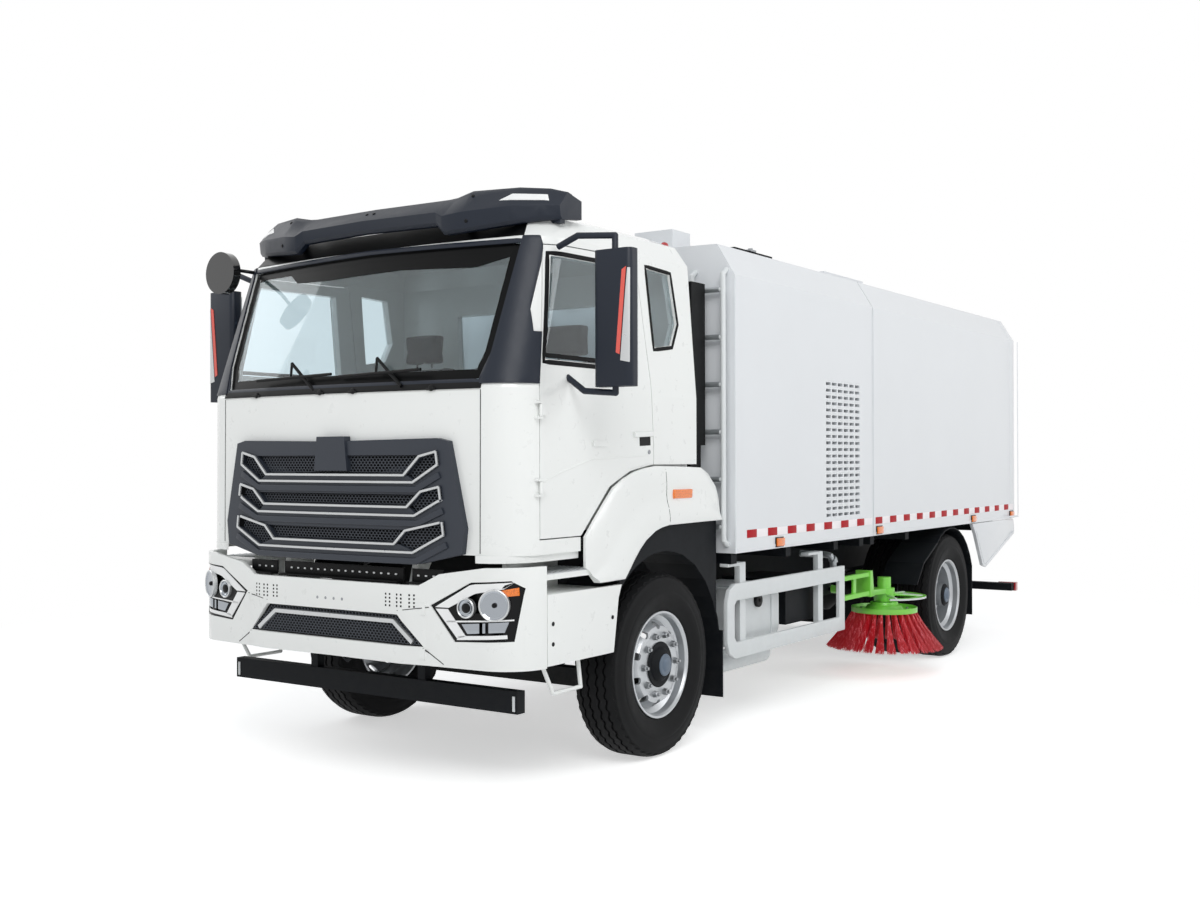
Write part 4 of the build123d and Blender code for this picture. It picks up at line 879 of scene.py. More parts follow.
def beside_block(point):
    x = math.copysign(max(abs(point.x), BLOCK_HALF_M), point.x)
    return Vector((x, spot(0, CAB_FRONT_Y, 0).y, point.z))


def mesh_panel(name, node, outline, plane_y, body, proud):
    xs, zs = [x for x, z in outline], [z for x, z in outline]
    pitch_x, pitch_z = CELL_MM * math.sqrt(3) * STRETCH, CELL_MM * 1.5
    across, down = int((max(xs) - min(xs)) / pitch_x) + 1, int((max(zs) - min(zs)) / pitch_z) + 1
    cell = hexagon(min(xs), plane_y, min(zs), CELL_MM, CELL_WALL_MM, CELL_DEEP_MM)
    unit = piece(name, [cell], mesh_abs, body)
    grids(unit, across, down, (pitch_x * MM, 0, 0), (0, 0, pitch_z * MM), (pitch_x / 2 * MM, 0, 0))
    bm = bmesh.new()
    bm.from_mesh(unit.data)
    outside = [v for v in bm.verts if not inside(outline, v.co.x / MM, v.co.z / MM)]
    bmesh.ops.delete(bm, geom=outside, context="VERTS")
    depths = {}
    for v in bm.verts:
        place, normal = on(node, beside_block(v.co), AHEAD)
        column = round(v.co.x / COLUMN_M)
        depths[column] = max(depths.get(column, -math.inf), place.y)
        v.co.y += place.y - spot(0, plane_y, 0).y - proud * MM
    for v in bm.verts:
        deepest = depths[round(v.co.x / COLUMN_M)] - proud * MM
        if v.co.y < deepest - FALLEN_M:
            v.co.y = deepest
    bm.to_mesh(unit.data)
    bm.free()
    return across * down


# black sheets at the back of each grille opening: painted shade for the dark recess behind the honeycomb
def shade_back_panel(low_line, high_line, columns):
    rows = []
    for j in range(columns + 1):
        low, high = along(low_line, j / columns), along(high_line, j / columns)
        y = max(on("grille", beside_block(low.lerp(high, share)), AHEAD)[0].y for share in (0.3, 0.5, 0.7))
        edges = ((low, -BACK_PROUD_M), (high, -BACK_PROUD_M), (high, BACK_SINK_M), (low, BACK_SINK_M))
        rows.append([Vector((p.x, y + d, p.z)) for p, d in edges])
    return loft(rows)


cells = 0
painted_shade_backs = []
for number, row in enumerate(grille_rows):
    low, top = row["inner"][0], row["top"]
    middle = [(-low[0], low[1] + 3), (low[0], low[1] + 3), top, (-top[0], top[1])]
    wing = row["inner"] + row["outer"][::-1]
    areas = {"middle": middle, "left": wing, "right": [(-x, z) for x, z in wing]}
    for word, outline in areas.items():
        name = "grille_mesh_" + word + "_" + str(number + 1)
        cells += mesh_panel(name, "grille", outline, -1400, "cab", 7)
    painted_shade_backs.append(shade_back_panel(front_line(middle[:2]), front_line(middle[:1:-1]), 40))
    lower = [row["inner"][0]] + row["outer"]
    sides = [shade_back_panel(front_line(lower), front_line(row["inner"]), 12)]
    painted_shade_backs += sides + mirrored(sides)
# these black backs are painted shade in the grille recesses
piece("grille_painted_shade_backs", painted_shade_backs, shadow_black, "cab")
intake = [(-470, 892), (470, 892), (620, 745), (-620, 745)]
cells += mesh_panel("intake_mesh", "bumper_mesh", intake, -1410, "chassis", 6)
print("honeycomb cells:", cells)

# %% [markdown]
# Windscreen: a blue-black frame bonded round the opening, a black ceramic band printed on
# the glass, deeper in the top corners, and a cowl strip with service-flap hinges below.

# %% Windscreen frame and cowl
frame_half = [(0, 2052), (920, 2052), (966, 2200), (996, 2768), (0, 2785)]
frame_line = frame_half + [(-x, z) for x, z in reversed(frame_half[1:-1])]
bonded = [laid("cab_shell", front_line(frame_line), AHEAD, 26, 4, closed=True)]
piece("screen_frame", bonded, polypropylene, "cab")
header_low, header_high = front_line([(-984, 2796), (984, 2796)]), front_line([(-950, 2900), (950, 2900)])
header = plate("cab_shell", header_low, header_high, AHEAD, 3, 48, 4)
piece("screen_header", [header], ceramic_black, "cab")
band_half = [(0, 2088), (895, 2088), (930, 2200), (958, 2735), (0, 2750)]
band_line = band_half + [(-x, z) for x, z in reversed(band_half[1:-1])]
band = [laid("cab_glass", front_line(band_line), AHEAD, 54, 0.8, sink=0.6, closed=True)]
shade_low = [(-925, 2700), (-697, 2755), (-560, 2662), (-297, 2655), (250, 2668), (732, 2645), (938, 2690)]
shade_high = [(-925, 2752), (-600, 2752), (-500, 2752), (-297, 2752), (250, 2752), (700, 2752), (938, 2750)]
band.append(plate("cab_glass", front_line(shade_low), front_line(shade_high), AHEAD, 0.7, 48, 2, 0.6))
piece("screen_band", band, ceramic_black, "cab")
cowl_low, cowl_high = front_line([(-935, 2016), (935, 2016)]), front_line([(-935, 2046), (935, 2046)])
cowl = [plate("cab_shell", cowl_low, cowl_high, AHEAD, 5, 48, 1)]
for x in (-640, -120, 120, 640):
    place, normal = on("cab_shell", spot(x, CAB_FRONT_Y, 2024), AHEAD)
    cowl.append(knob(place, normal, [(0, 0), (0, 16), (9, 16), (12, 12), (12, 0)], 16))
    cowl.append(tube([place + Vector((-0.03, -0.006, -0.004)), place + Vector((0.03, -0.006, -0.004))], 6))
piece("cowl_strip", cowl, black_abs, "cab", 0.8)
seam = [laid("cab_shell", front_line([(x, 2010), (x, 1210)]), AHEAD, 5, 0.5) for x in (933, -933)]
piece("front_seams", seam, shadow_black, "cab")
lip = []
LIP_STEPS, CORNER_SHARE, RUN_BACK = 16, 0.625, 330
for i in range(LIP_STEPS + 1):
    t = i / LIP_STEPS
    a = math.radians(90 * min(1, t / CORNER_SHARE))
    x, y = 914 + 218 * math.sin(a), -1125 - 227 * math.cos(a)
    y += max(0, t - CORNER_SHARE) / (1 - CORNER_SHARE) * RUN_BACK
    lip.append([spot(x, y, 1202), spot(x, y, 1164), spot(x - 12, y + 12, 1162), spot(x - 12, y + 12, 1202)])
corner_lip = [loft(lip)]
piece("cab_corner_lips", corner_lip + mirrored(corner_lip), enamel_white, "cab")
print("windscreen dressed")

# %% [markdown]
# Doors: a rubber run round each window, a wiper strip along its sill, a pull handle over
# a dark recess with its lock below, and the line that is pressed across the skin.

# %% Doors and side windows
window_line = [(-1100, 2150), (-998, 2704), (-336, 2714), (-256, 2150)]
CAB_SIDE_X, BODY_SIDE_X, FENDER_SIDE_X = 1150, 1300, 1400
quarter_line = [(-130, 2738), (136, 2727), (198, 2441), (126, 2303), (-72, 2277), (-88, 2400)]


def side_line(points, x):
    return [spot(x, y, z) for y, z in points]


for side, word in SIDES:
    look = (-side, 0, 0)
    door, body = "door_" + word, word + "_door"
    run = laid(door, side_line(window_line, side * CAB_SIDE_X), look, 24, 2.5, closed=True)
    piece("window_run_" + word, [run], rubber, body)
    sill = side_line([(-1068, 2185), (-300, 2185)], side * CAB_SIDE_X)
    lower = laid("door_glass_" + word, sill, look, 22, 6)
    piece("window_wiper_" + word, [lower], rubber, body)
    run = laid("cab_shell", side_line(quarter_line, side * CAB_SIDE_X), look, 22, 2.5, closed=True)
    piece("quarter_run_" + word, [run], rubber, "cab")
    recess = laid(door, side_line([(-238, 1770), (-128, 1775)], side * CAB_SIDE_X), look, 62, 1.2)
    piece("handle_recess_" + word, [recess], black_abs, body)
    pull = [laid(door, side_line([(-300, 1800), (-112, 1808)], side * CAB_SIDE_X), look, 30, 15, step=12)]
    piece("door_pull_" + word, pull, enamel_white, body, 1.5)
    place, normal = on(door, spot(side * CAB_SIDE_X, -142, 1707), look)
    lock = knob(place, normal, [(-2, 0), (-2, 12), (4, 12), (5, 10), (3, 8), (3, 0)])
    piece("door_lock_" + word, [lock], zinc, body)
    line = side_line([(-1120, 1560), (-980, 1600), (-700, 1668), (-150, 1690)], side * CAB_SIDE_X)
    line = laid(door, line, look, 9, 2.2)
    piece("door_crease_" + word, [line], enamel_white, body)
print("doors dressed")

# %% [markdown]
# Sun visor: two white lamp windows in the end blocks, and the small dark screws that hold
# it. Each left-hand one is found in the photograph and mirrored.

# %% Sun visor
lamp_low = [(835, 2985), (1062, 2978)]
lamp_high = [(885, 3020), (1046, 3012)]
windows = [plate("sun_visor", front_line(lamp_low), front_line(lamp_high), AHEAD, 2.5, 10, 2)]
piece("visor_lamp_windows", windows + mirrored(windows), lamp_milk, "cab")
screws = []
for px, py in ((374, 214), (466, 221), (473, 196)):
    place, normal = seen("sun_visor", px, py)
    if place:
        screws.append(knob(place, normal, [(-1, 0), (-1, 9), (3, 9), (5, 6), (5, 0)], 14))
piece("visor_screws", screws + mirrored(screws), black_abs, "cab")
print("visor screws:", len(screws) * 2)

# %% [markdown]
# Headlamps: two round chromed reflectors with a dark eye each, ribbed facets below them, a
# broad white daytime band round the inner edges and amber at the outer corner. The dark
# housing shows round them as a narrow edge.

# %% Headlamps and tail lamps
TAIL_Y = 6.2 - MIDDLE


def lamp_part(centre):
    return 1 if centre.y > TAIL_Y else 0


stands_for("lamps", "lamp_housings", "chassis", [black_gloss, lens_red], lamp_part, 2)
lamp_units = [{"px": 466.8, "py": 608.0, "r": 50, "eye": 0.5},
              {"px": 494.6, "py": 605.5, "r": 78, "eye": 0.16}]


FACE_START, FACE_STEP, FACE_COUNT, FACE_Z = 0.72, 0.04, 11, 0.905
SETTLE_ROUNDS = 12
face_depths = []
for i in range(FACE_COUNT):
    start = Vector((FACE_START + FACE_STEP * i, spot(0, BUMPER_FRONT_Y, 0).y, FACE_Z))
    face_depths.append(on("lamps", start, AHEAD)[0].y)


def lamp_face(x):
    share = (x - FACE_START) / FACE_STEP
    i = min(max(int(share), 0), FACE_COUNT - 2)
    return face_depths[i] + (face_depths[i + 1] - face_depths[i]) * (share - i)


def lamp_spot(px, py):
    look = pixel_look(px, py)
    eye = camera.matrix_world.translation
    y = lamp_face(spot(900, 0, 0).x)
    for _ in range(SETTLE_ROUNDS):
        at = eye + look * ((y - eye.y) / look.y)
        y = lamp_face(at.x)
    return Vector((at.x, y, at.z))


def lamp_cover(low_pixels, high_pixels, proud, columns=14):
    low_line, high_line = [lamp_spot(*p) for p in low_pixels], [lamp_spot(*p) for p in high_pixels]
    rows = []
    for j in range(columns + 1):
        ends = (along(low_line, j / columns), along(high_line, j / columns))
        front = [Vector((p.x, lamp_face(p.x) - proud * MM, p.z)) for p in ends]
        rows.append(front + [Vector((p.x, lamp_face(p.x) + 0.002, p.z)) for p in reversed(ends)])
    return loft(rows)


rims, bowls, eyes = [], [], []
for row in lamp_units:
    r = row["r"]
    place = lamp_spot(row["px"], row["py"])
    slope = (lamp_face(place.x + 0.03) - lamp_face(place.x - 0.03)) / 0.06
    normal = Vector((slope, -1, 0)).normalized()
    rims.append(turned([(-8, r), (14, r), (17, r - 4), (14, r - 8), (-8, r - 8)], place, normal, 40))
    bowl = [(-8, r - 6), (13, r - 8), (9, r * 0.8), (10, r * 0.72), (6, r * 0.58), (7, r * 0.5),
            (4, r * 0.3), (3, 0), (-8, 0)]
    bowls.append(turned(bowl, place, normal, 40))
    eye = r * row["eye"]
    eyes.append(turned([(2, 0), (2, eye), (10, eye * 0.96), (15, eye * 0.6), (17, 0)], place, normal, 32))
piece("lamp_rims", rims + mirrored(rims), satin_trim, "chassis")
piece("lamp_bowls", bowls + mirrored(bowls), chrome, "chassis")
piece("lamp_eyes", eyes + mirrored(eyes), black_gloss, "chassis")
day = []
for low, high in (([(449, 607.8), (475, 593.8), (504, 589.5)],
                   [(435.5, 606.9), (471.5, 584.5), (516, 582.4)]),
                  ([(436, 608.5), (457.5, 638.5)], [(448, 609), (466, 636.5)]),
                  ([(457, 640), (508, 639)], [(459, 636), (507.5, 635.2)]),
                  ([(447, 622.3), (515, 620.9)], [(447, 620.6), (515, 619.4)])):
    day.append(lamp_cover(low, high, 3))
piece("daytime_bands", day + mirrored(day), lamp_milk, "chassis")
facets = []
for low, high in (([(468, 634), (480, 633.6)], [(462, 624), (480, 623.4)]),
                  ([(483, 633.6), (486, 633.4)], [(483, 623.4), (486, 623.2)]),
                  ([(489, 633.4), (505.5, 632.8)], [(489, 623), (510, 622)])):
    facets.append(lamp_cover(low, high, 6, 3))
piece("lamp_facets", facets + mirrored(facets), chrome, "chassis", 3)
turn = [lamp_cover([(509, 596.6), (520, 595.6)], [(502, 590.6), (519.5, 587.6)], 5, 4)]
piece("turn_lenses", turn + mirrored(turn), lens_amber, "chassis")
print("lamp units:", len(lamp_units) * 2)

# %% [markdown]
# Bumper: a satin bar frames the lower intake, small square holes take a plate, and a
# pressed seam runs down from each intake corner. The slotted shelf above it leaves a gap
# for each of the two ears on which the cab tilts.

# %% Bumper details
bar_line = front_line([(-560, 760), (-430, 858), (430, 858), (560, 760)])
bar = [laid("bumper_mesh", bar_line, AHEAD, 26, 16, step=50)]
piece("intake_bar", bar, satin_trim, "chassis")
holes = []
for x in (-575, -548, -500, -473, -425, -398, 398, 425, 473, 500, 548, 575):
    for z in (938, 957, 976, 995):
        place, normal = on("front_bumper", spot(x, BUMPER_FRONT_Y, z), AHEAD)
        holes.append(knob(place, normal, [(-2, 0), (-2, 7), (0.2, 7), (0.3, 6), (0.1, 5), (0.1, 0)], 4))
piece("plate_holes", holes, shadow_black, "chassis")
seams = [laid("front_bumper", front_line([(628, 735), (747, 664)], BUMPER_FRONT_Y), AHEAD, 5, 0.3),
         laid("front_bumper", front_line([(660, 940), (474, 915)], BUMPER_FRONT_Y), AHEAD, 4, 0.3)]
piece("bumper_seams", seams + mirrored(seams), shadow_black, "chassis")
screws = []
for x in (-90, -30, 30, 90):
    place, normal = on("front_bumper", spot(x, BUMPER_FRONT_Y, 950), AHEAD)
    screws.append(knob(place, normal, [(-1, 0), (-1, 8), (0.2, 8), (0.4, 5), (0.4, 0)], 12))
piece("bumper_screws", screws, zinc, "chassis")
SHELF_HALF, EAR_IN, EAR_OUT, SLOT_STEP = 700, 436, 494, 51
lip = []
for x0, x1 in ((-SHELF_HALF, -EAR_OUT), (-EAR_IN, EAR_IN), (EAR_OUT, SHELF_HALF)):
    lip += [slab((x0, -1392, 1046), (x1, -1340, 1056)), slab((x0, -1345, 1056), (x1, -1335, 1120))]
slot = []
for x in range(-640, 641, SLOT_STEP):
    if not EAR_IN - 6 < abs(x) < EAR_OUT + 6:
        slot.append(slab((x, -1350, 1082), (x + 14, -1343, 1091)))
piece("bumper_recess", lip, black_abs, "chassis", 1.5)
piece("recess_slots", slot, satin_trim, "chassis", 1)
eye_line = ((92, 690), (96, 650), (120, 634), (144, 650), (148, 690))
tow = [slab((80, -1412, 664), (160, -1380, 700)), tube([spot(x, -1425, z) for x, z in eye_line], 9)]
piece("tow_eye", tow, enamel_black, "chassis", 2)
end_slot = [slab((1000, -1176, 424), (1016, -1172, 500))]
piece("underrun_slots", end_slot + mirrored(end_slot), enamel_grey, "chassis", 2)
print("bumper dressed")

# %% [markdown]
# Fenders and steps: a lofted fender whose section swells over the wheel, the seam between
# its two pressings, an amber side lamp, chequer plate on the treads, and screws in the
# step panel. The rows of the loft run from the front foot of the fender to the rear one.

# %% Fenders and steps
fender_rows = [
    {"top": (-785, 1112), "low": (-690, 1030)}, {"top": (-785, 1195), "low": (-570, 1030)},
    {"top": (-785, 1270), "low": (-450, 1032)}, {"top": (-705, 1350), "low": (-400, 1082)},
    {"top": (-615, 1434), "low": (-357, 1129)}, {"top": (-525, 1516), "low": (-300, 1182)},
    {"top": (-428, 1562), "low": (-241, 1226)}, {"top": (-328, 1597), "low": (-142, 1273)},
    {"top": (-215, 1619), "low": (-70, 1290)}, {"top": (-105, 1630), "low": (0, 1299)},
    {"top": (150, 1625), "low": (200, 1301)}, {"top": (391, 1618), "low": (400, 1303)},
    {"top": (478, 1582), "low": (478, 1303)}, {"top": (548, 1522), "low": (542, 1303)},
    {"top": (586, 1440), "low": (584, 1303)}, {"top": (600, 1340), "low": (599, 1303)},
]
# share of the way from the top edge to the wheel's opening, and distance from the middle
across_fender = [(0, 1157), (0, 1172), (0.07, 1182), (0.3, 1185), (0.48, 1181), (0.6, 1184),
                 (0.72, 1195), (0.86, 1200), (0.97, 1199), (1, 1194), (1, 1157)]
CHEQUER_STEP, CHEQUER_ROWS = 25, 17
rows = []
for row in fender_rows:
    (y0, z0), (y1, z1) = row["top"], row["low"]
    rows.append([spot(x, y0 + (y1 - y0) * t, z0 + (z1 - z0) * t) for t, x in across_fender])
fender_form = loft(rows)
fender_name = "fender_skins"
fenders = piece(fender_name, [fender_form] + mirrored([fender_form]), enamel_white, "chassis")
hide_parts("front_fenders")
nodes[fender_name] = fenders
for side, word in SIDES:
    look = (-side, 0, 0)
    line = side_line([(4, 1302), (-5, 1440), (-15, 1612)], side * FENDER_SIDE_X)
    seam = laid(fender_name, line, look, 4, 0.6, step=20)
    piece("fender_seam_" + word, [seam], shadow_black, "chassis")
    line = side_line([(60, 1470), (262, 1470)], side * FENDER_SIDE_X)
    lamp = laid(fender_name, line, look, 52, 11, step=30)
    piece("fender_lamp_" + word, [lamp], lens_amber, "chassis", 2)
    plates = [slab((side * 905, -1125, 1104), (side * 1172, -694, 1109)),
              slab((side * 928, -1125, 709), (side * 1152, -684, 714))]
    piece("tread_plates_" + word, plates, chequer, "chassis", 1)
    for name, x0, z, across in (("high", 918, 1109, 10), ("low", 938, 714, 8)):
        rise = [(0, 0), (11, 4), (22, 0), (11, -4)]
        low = [spot(side * (x0 + u), -1110 + v, z - 1) for u, v in rise]
        top = [spot(side * (x0 + 11 + (u - 11) * 0.7), -1110 + v * 0.6, z + 2.5) for u, v in rise]
        unit = piece("chequer_" + name + "_" + word, [loft([low, top])], chequer, "chassis")
        step = CHEQUER_STEP * MM
        grids(unit, across, CHEQUER_ROWS, (side * step, 0, 0), (0, step, 0), (side * step / 2, 0, 0))
    screws = []
    for y, z in ((-1085, 860), (-1085, 760), (-560, 840)):
        place, normal = on("steps", spot(side * BODY_SIDE_X, y, z), look)
        screws.append(knob(place, normal, [(-1, 0), (-1, 11), (2, 11), (4, 7), (4, 0)], 14))
    piece("step_screws_" + word, screws, black_abs, "chassis")
print("fenders and steps dressed")

# %% [markdown]
# Reflective tape: red and white blocks along the lower edge of both body sections. Amber
# marker lamps hang below it on dark bases.

# %% Tape and side markers
TAPE_Z, TAPE_HIGH, RED_LONG, PITCH = 1185, 50, 130, 278
marker_places = (1195, 2832, 4950, 6040)
for side, word in SIDES:
    for part, body, y0, count in (("housing", "chassis", 815, 7), ("hopper", "hopper", 2822, 12)):
        for tone, material, shift, length in (("red", tape_red, 0, RED_LONG),
                                              ("white", tape_white, RED_LONG, PITCH - RED_LONG)):
            low = (side * 1249.5, y0 + shift, TAPE_Z)
            high = (side * 1250.6, y0 + shift + length, TAPE_Z + TAPE_HIGH)
            name = "tape_" + tone + "_" + part + "_" + word
            unit = piece(name, [slab(low, high)], material, body, 0.3)
            grids(unit, count, 1, (0, PITCH * MM, 0), (0, 0, 0))
    for body, ys in (("chassis", marker_places[:1]), ("hopper", marker_places[1:])):
        bases = [slab((side * 1249, y, 1108), (side * 1256, y + 112, 1170)) for y in ys]
        piece("marker_bases_" + body + "_" + word, bases, black_abs, body, 1)
        lenses = [slab((side * 1255, y + 6, 1113), (side * 1268, y + 106, 1165)) for y in ys]
        piece("side_markers_" + body + "_" + word, lenses, lens_amber, body, 5)
print("tape and markers on both sides")

# %% [markdown]
# Louvres: every slot in the housing gets the pressed brow that throws water off it. Folded
# rims run along the lower edge of the body, and the sheets meet at narrow seams.

# %% Body sheet details
LOUVRE_STEP_Y, LOUVRE_STEP_Z, LOUVRES_ACROSS, LOUVRES_DOWN = 98, 45, 6, 21
BODY_HALF, RIM_Z, SHOULDER_Z = 1249, 1120, 2760
for side, word in SIDES:
    rows = []
    for y in (1966, 1972, 2040, 2046):
        deep = 1 if y in (1966, 2046) else 3
        section = ((0, 1307), (deep, 1304), (deep, 1303), (deep - 1, 1302), (0, 1302))
        rows.append([spot(side * (BODY_HALF + u), y, z) for u, z in section])
    hood = piece("louvre_hoods_" + word, [loft(rows)], enamel_body, "chassis")
    grids(hood, LOUVRES_ACROSS, LOUVRES_DOWN, (0, LOUVRE_STEP_Y * MM, 0), (0, 0, LOUVRE_STEP_Z * MM))
    look = (-side, 0, 0)
    for node, name, body, low_edge, upright in (
        ("machine_housing", "housing_rims_", "chassis", (690, 2770), (684, 2764)),
        ("hopper_shell", "hopper_rims_", "hopper", (2800, 6150), (2800, 6146)),
    ):
        line = side_line([(y, RIM_Z) for y in low_edge], side * BODY_SIDE_X)
        rims = [laid(node, line, look, 16, 3, step=300)]
        for y in upright:
            line = side_line([(y, RIM_Z + 10), (y, SHOULDER_Z)], side * BODY_SIDE_X)
            rims.append(laid(node, line, look, 14, 2.5, step=200))
        piece(name + word, rims, enamel_body, body)
print("body sheet dressed")

# %% [markdown]
# The rib along the rear skirt, the hatch latch, the roof marker, and what the rear shows:
# a gate with its seal and three pressed ribs, two latches and a plain plate.

# %% Roof and rear details
BEHIND_Y, FORWARD = 6400, (0, -1, 0)
skirt_line = [(5090, 1030), (5290, 745), (5360, 722), (6170, 975)]
for side, word in SIDES:
    rib = laid("rear_skirts", side_line(skirt_line, side * BODY_SIDE_X), (-side, 0, 0), 12, 4, step=60)
    piece("skirt_rib_" + word, [rib], enamel_body, "chassis")
seal_line = ((-1190, 1150), (1190, 1150), (1190, 2740), (1080, 2900), (-1080, 2900), (-1190, 2740))
seal = laid("tailgate", [spot(x, BEHIND_Y, z) for x, z in seal_line], FORWARD, 16, 3, step=150, closed=True)
piece("gate_bead", [seal], enamel_body, "rear_gate")
ribs_on_gate = [laid("tailgate", [spot(x, BEHIND_Y, z) for z in (1250, 2780)], FORWARD, 60, 14, step=200)
                for x in (-700, 0, 700)]
piece("gate_ribs", ribs_on_gate, enamel_body, "rear_gate", 2)
latches = []
for x in (-950, 950):
    latches.append(slab((x - 40, 6205, 1190), (x + 40, 6222, 1330)))
    latches.append(tube([spot(x, 6226, z) for z in (1210, 1260, 1320)], 11))
piece("gate_latches", latches, zinc, "rear_gate", 2)
blank = slab((-260, 6212, 1130), (260, 6217, 1250))
piece("plate_blank", [blank], enamel_grey, "rear_gate", 2)
roof_mark, normal = on("cab_shell", spot(1000, 270, 3300), (0, 0, -1))
dome = knob(roof_mark, normal, [(-2, 0), (-2, 26), (8, 26), (20, 20), (24, 10), (24, 0)], 24)
piece("roof_marker", [dome], lens_red, "cab")
bail = tube([spot(960, 1395, 3048), spot(975, 1420, 3052), spot(960, 1445, 3048)], 5)
hasp = [slab((925, 1380, 3032), (985, 1460, 3044)), bail]
piece("hatch_hasp", hasp, zinc, "roof_hatch", 1)
print("roof and rear dressed")

# %% [markdown]
# Mirrors: a glass on the back of each shell with a pale frame, and down the front a coral
# strip beside a satin edge plate.

# %% Mirrors
MIRROR_IN, MIRROR_OUT = 1349, 1539
for side, word in SIDES:
    x0, x1 = sorted((side * MIRROR_IN, side * MIRROR_OUT))
    node, body = "mirror_" + word, word + "_door"
    low, high = [[spot(x, 0, z) for x in (x0, x1)] for z in (2070, 2655)]
    glass = plate(node, low, high, FORWARD, 2, 8, 12)
    piece("mirror_glass_" + word, [glass], mirror_silver, body)
    around = [spot(x, 0, z) for x, z in ((x0, 2062), (x1, 2062), (x1, 2663), (x0, 2663))]
    edge = laid(node, around, FORWARD, 16, 4, closed=True)
    piece("mirror_frame_" + word, [edge], enamel_grey, body)
    strip = plate(node, [spot(side * 1470, -1300, 2190), spot(side * 1492, -1300, 2180)],
                  [spot(side * 1506, -1300, 2592), spot(side * 1530, -1300, 2606)], AHEAD, 3, 3, 12)
    piece("mirror_strip_" + word, [strip], coral_acrylic, body)
    edge = plate(node, [spot(side * 1496, -1300, 2150), spot(side * 1545, -1300, 2140)],
                 [spot(side * 1536, -1300, 2600), spot(side * 1547, -1300, 2600)], AHEAD, 2.5, 3, 12)
    piece("mirror_edge_" + word, [edge], satin_trim, body)
print("mirrors dressed")

# %% [markdown]
# Side brushes: a lime disc carries some two thousand crimped crimson bristles in bundles.
# One bundle is modelled, and the ring tree turns it round the disc with a little jitter.

# %% Side brushes
BRUSH_X, BRUSH_Y, DISC_LOW = 1080, 3400, 478
BUNDLES, BUNDLE_ROWS, BUNDLE_COLUMNS, BRISTLE_R = 30, 8, 9, 2.3
BRISTLE_TOP, SLANT_OUT = 486, 1.2
GUARD_LOW, GUARD_HIGH = 0.57, 0.63
for side, word in SIDES:
    disc = [(DISC_LOW, 24), (DISC_LOW, 252), (518, 252), (518, 236), (496, 228), (494, 150), (526, 130),
            (534, 108), (554, 104), (554, 24)]
    centre = spot(side * BRUSH_X, BRUSH_Y, 0)
    disc = turned(disc, centre, (0, 0, 1), 60)
    made = piece("brush_disc_" + word, [disc], green_enamel, word + "_brush", 1.5)
    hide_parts("brush_" + word)
    forms = []
    for i in range(BUNDLE_ROWS * BUNDLE_COLUMNS):
        half = (BUNDLE_COLUMNS - 1) / 2
        spread = (i % BUNDLE_COLUMNS - half) / half
        depth = (i // BUNDLE_COLUMNS) / (BUNDLE_ROWS - 1)
        wave = math.sin(i * 2.4)
        start_r, end_r = 205 + 36 * depth, 366 + 72 * depth + 7 * wave
        low = 206 + 26 * (1 - depth) + 5 * wave
        path = []
        for t in (0, 0.35, 0.7, 1.0):
            r = start_r + (end_r - start_r) * (t ** SLANT_OUT)
            a = spread * (0.014 + 0.058 * t) + 0.003 * math.sin(i + 5 * t)
            z = BRISTLE_TOP + (low - BRISTLE_TOP) * t
            path.append(spot(side * BRUSH_X + r * math.cos(a), BRUSH_Y + r * math.sin(a), z))
        forms.append(tube(path, BRISTLE_R, 3))
    unit = piece("bristles_" + word, forms, bristle, word + "_brush")
    rings(unit, BUNDLES, centre, TURN_Z, (0.006, 0.006, 0.02), 11)
    bolt = [(496, 0), (496, 11), (504, 11), (506, 8), (506, 0)]
    bolt_form = turned(bolt, spot(side * BRUSH_X + 190, BRUSH_Y, 0), (0, 0, 1), 6)
    ring_bolts = piece("disc_bolts_" + word, [bolt_form], zinc, word + "_brush")
    rings(ring_bolts, 8, centre, TURN_Z)
    body = word + "_lift"

    def arm_part(at, centre=Vector(centre)):
        far = (Vector((at.x, at.y)) - Vector((centre.x, centre.y))).length
        return 1 if far > 0.2 and GUARD_LOW < at.z < GUARD_HIGH and at.y > centre.y - 0.30 else 0

    paints = [green_enamel, enamel_grey]
    stands_for("lift_arm_" + word, "lift_arm_skin_" + word, body, paints, arm_part, 2)
    print("bristles on the", word, len(unit.data.polygons), "faces")

# %% [markdown]
# The ladder gets a sleeve on each rung and the tank its cap, and a bent pipe with a
# thicker union stands ahead of the brush.

# %% Small fittings
RUNGS, FIRST_RUNG_Z, RUNG_STEP = 6, 1260, 285
sleeves = []
for i in range(RUNGS):
    z = FIRST_RUNG_Z + i * RUNG_STEP
    sleeves.append(turned([(-86, 14), (-86, 16), (86, 16), (86, 14)], spot(1087, 624, z), (1, 0, 0), 20))
piece("rung_sleeves", sleeves, galvanised, "chassis")
cap = [(-2, 0), (-2, 44), (20, 44), (24, 38), (24, 12), (32, 10), (32, 0)]
cap = knob(spot(1088, 1250, 760), (1, 0, 0), cap, 32)
piece("tank_cap", [cap], black_abs, "chassis", 1)
bend = ((880, 2330, 985), (1080, 2330, 985), (1112, 2334, 976), (1128, 2340, 945), (1130, 2344, 880))
pipes = [tube([spot(*p) for p in bend], 24)]
pipes.append(tube([spot(1124, 2330, 960), spot(1128, 2346, 948), spot(1130, 2350, 930)], 30))
piece("valve_pipes", pipes, galvanised, "chassis")
print("small fittings made")

# %% [markdown]
# Seats: each has a cushion, a back and a head rest in woven cloth. The pads are inflated
# as cloth over their CAD blocks, then smoothed; the plinth under them stays hard.

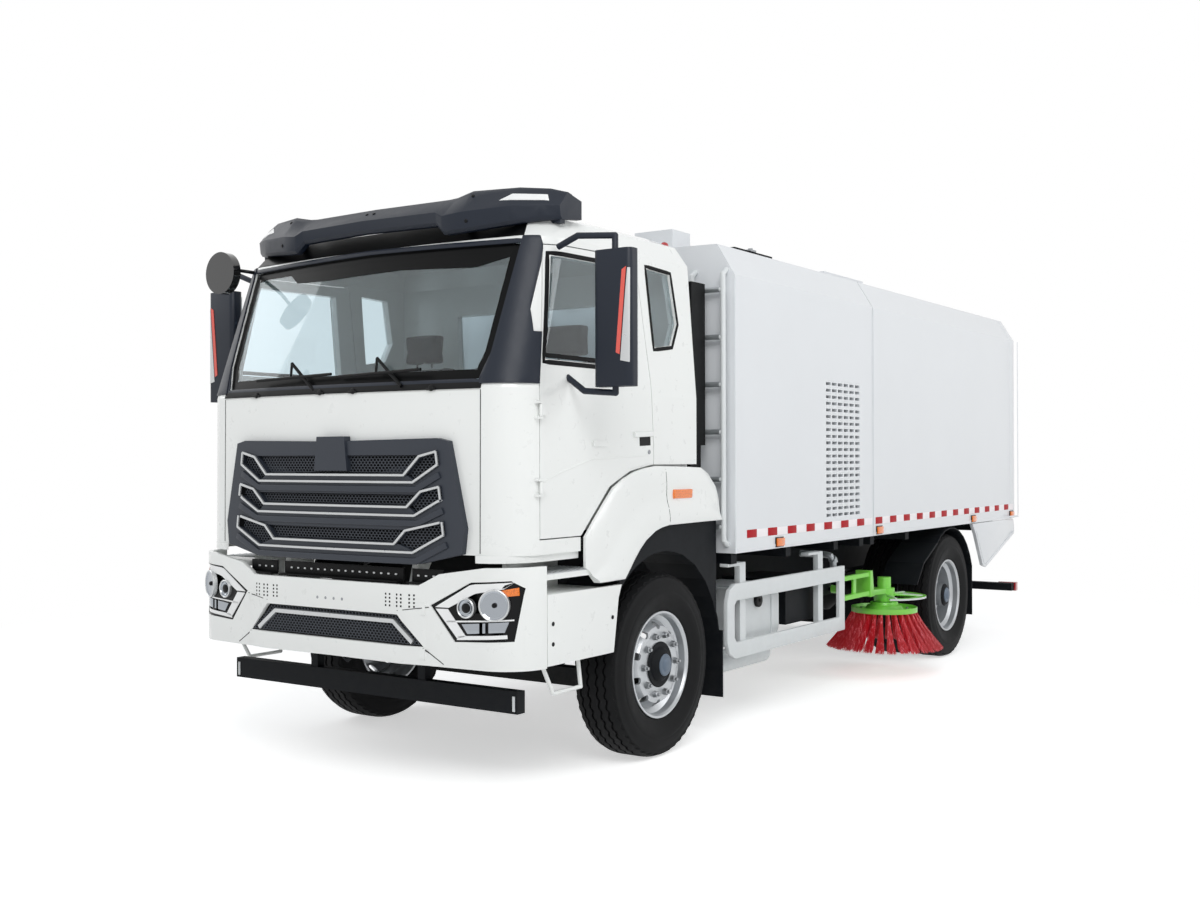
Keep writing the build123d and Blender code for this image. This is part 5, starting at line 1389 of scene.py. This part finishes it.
# %% Seats
SEAT_X = 550
EVEN_MM = 9
PUFF_PRESSURE, PUFF_FRAMES = 4.0, 20
seat_blocks = [
    {"name": "cushion", "low": (-243, -553, 1570), "high": (243, -67, 1693), "cap": 24},
    {"name": "back", "low": (-233, -153, 1712), "high": (233, -32, 2250), "cap": 24},
    {"name": "head_rest", "low": (-132, -124, 2268), "high": (132, -46, 2442), "cap": 14},
]


def padded_block(name, low, high, shift_x, cap_mm):
    form = slab((low[0] + shift_x, low[1], low[2]), (high[0] + shift_x, high[1], high[2]))
    pad = piece(name, [form], seat_cloth, "cab", 14)
    remesh = pad.modifiers.new("even", "REMESH")
    remesh.mode = "VOXEL"
    remesh.voxel_size = EVEN_MM * MM
    graph = bpy.context.evaluated_depsgraph_get()
    even = bpy.data.meshes.new_from_object(pad.evaluated_get(graph))
    pad.modifiers.remove(remesh)
    pad.data = even
    start = [v.co.copy() for v in even.vertices]
    cloth = pad.modifiers.new("inflate", "CLOTH")
    cloth.settings.use_pressure = True
    cloth.settings.uniform_pressure_force = PUFF_PRESSURE
    cloth.settings.effector_weights.gravity = 0.0
    scene = bpy.context.scene
    for frame_number in range(1, PUFF_FRAMES + 1):
        scene.frame_set(frame_number)
    graph = bpy.context.evaluated_depsgraph_get()
    swollen = [v.co.copy() for v in pad.evaluated_get(graph).data.vertices]
    pad.modifiers.remove(cloth)
    scene.frame_set(1)
    for v, home, out in zip(even.vertices, start, swollen):
        step = out - home
        v.co = home + step * min(1, cap_mm * MM / max(step.length, 1e-9))
    even.polygons.foreach_set("use_smooth", [True] * len(even.polygons))
    even.materials.clear()
    even.materials.append(seat_cloth)
    return pad


pads = []
for side, word in SIDES:
    for row in seat_blocks:
        name = "seat_" + row["name"] + "_" + word
        pads.append(padded_block(name, row["low"], row["high"], side * SEAT_X, row["cap"]))
middles = [side * SEAT_X for side in (LEFT, RIGHT)]
plinths = [slab((x - 178, -478, 1352), (x + 178, -122, 1560)) for x in middles]
plinths += [tube([spot(x + u, -85, z) for z in (2240, 2290)], 6) for x in middles for u in (-60, 60)]
plinth = piece("seat_plinths", plinths, cabin_abs, "cab", 8)
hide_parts("seats")
print("pads:", len(pads))
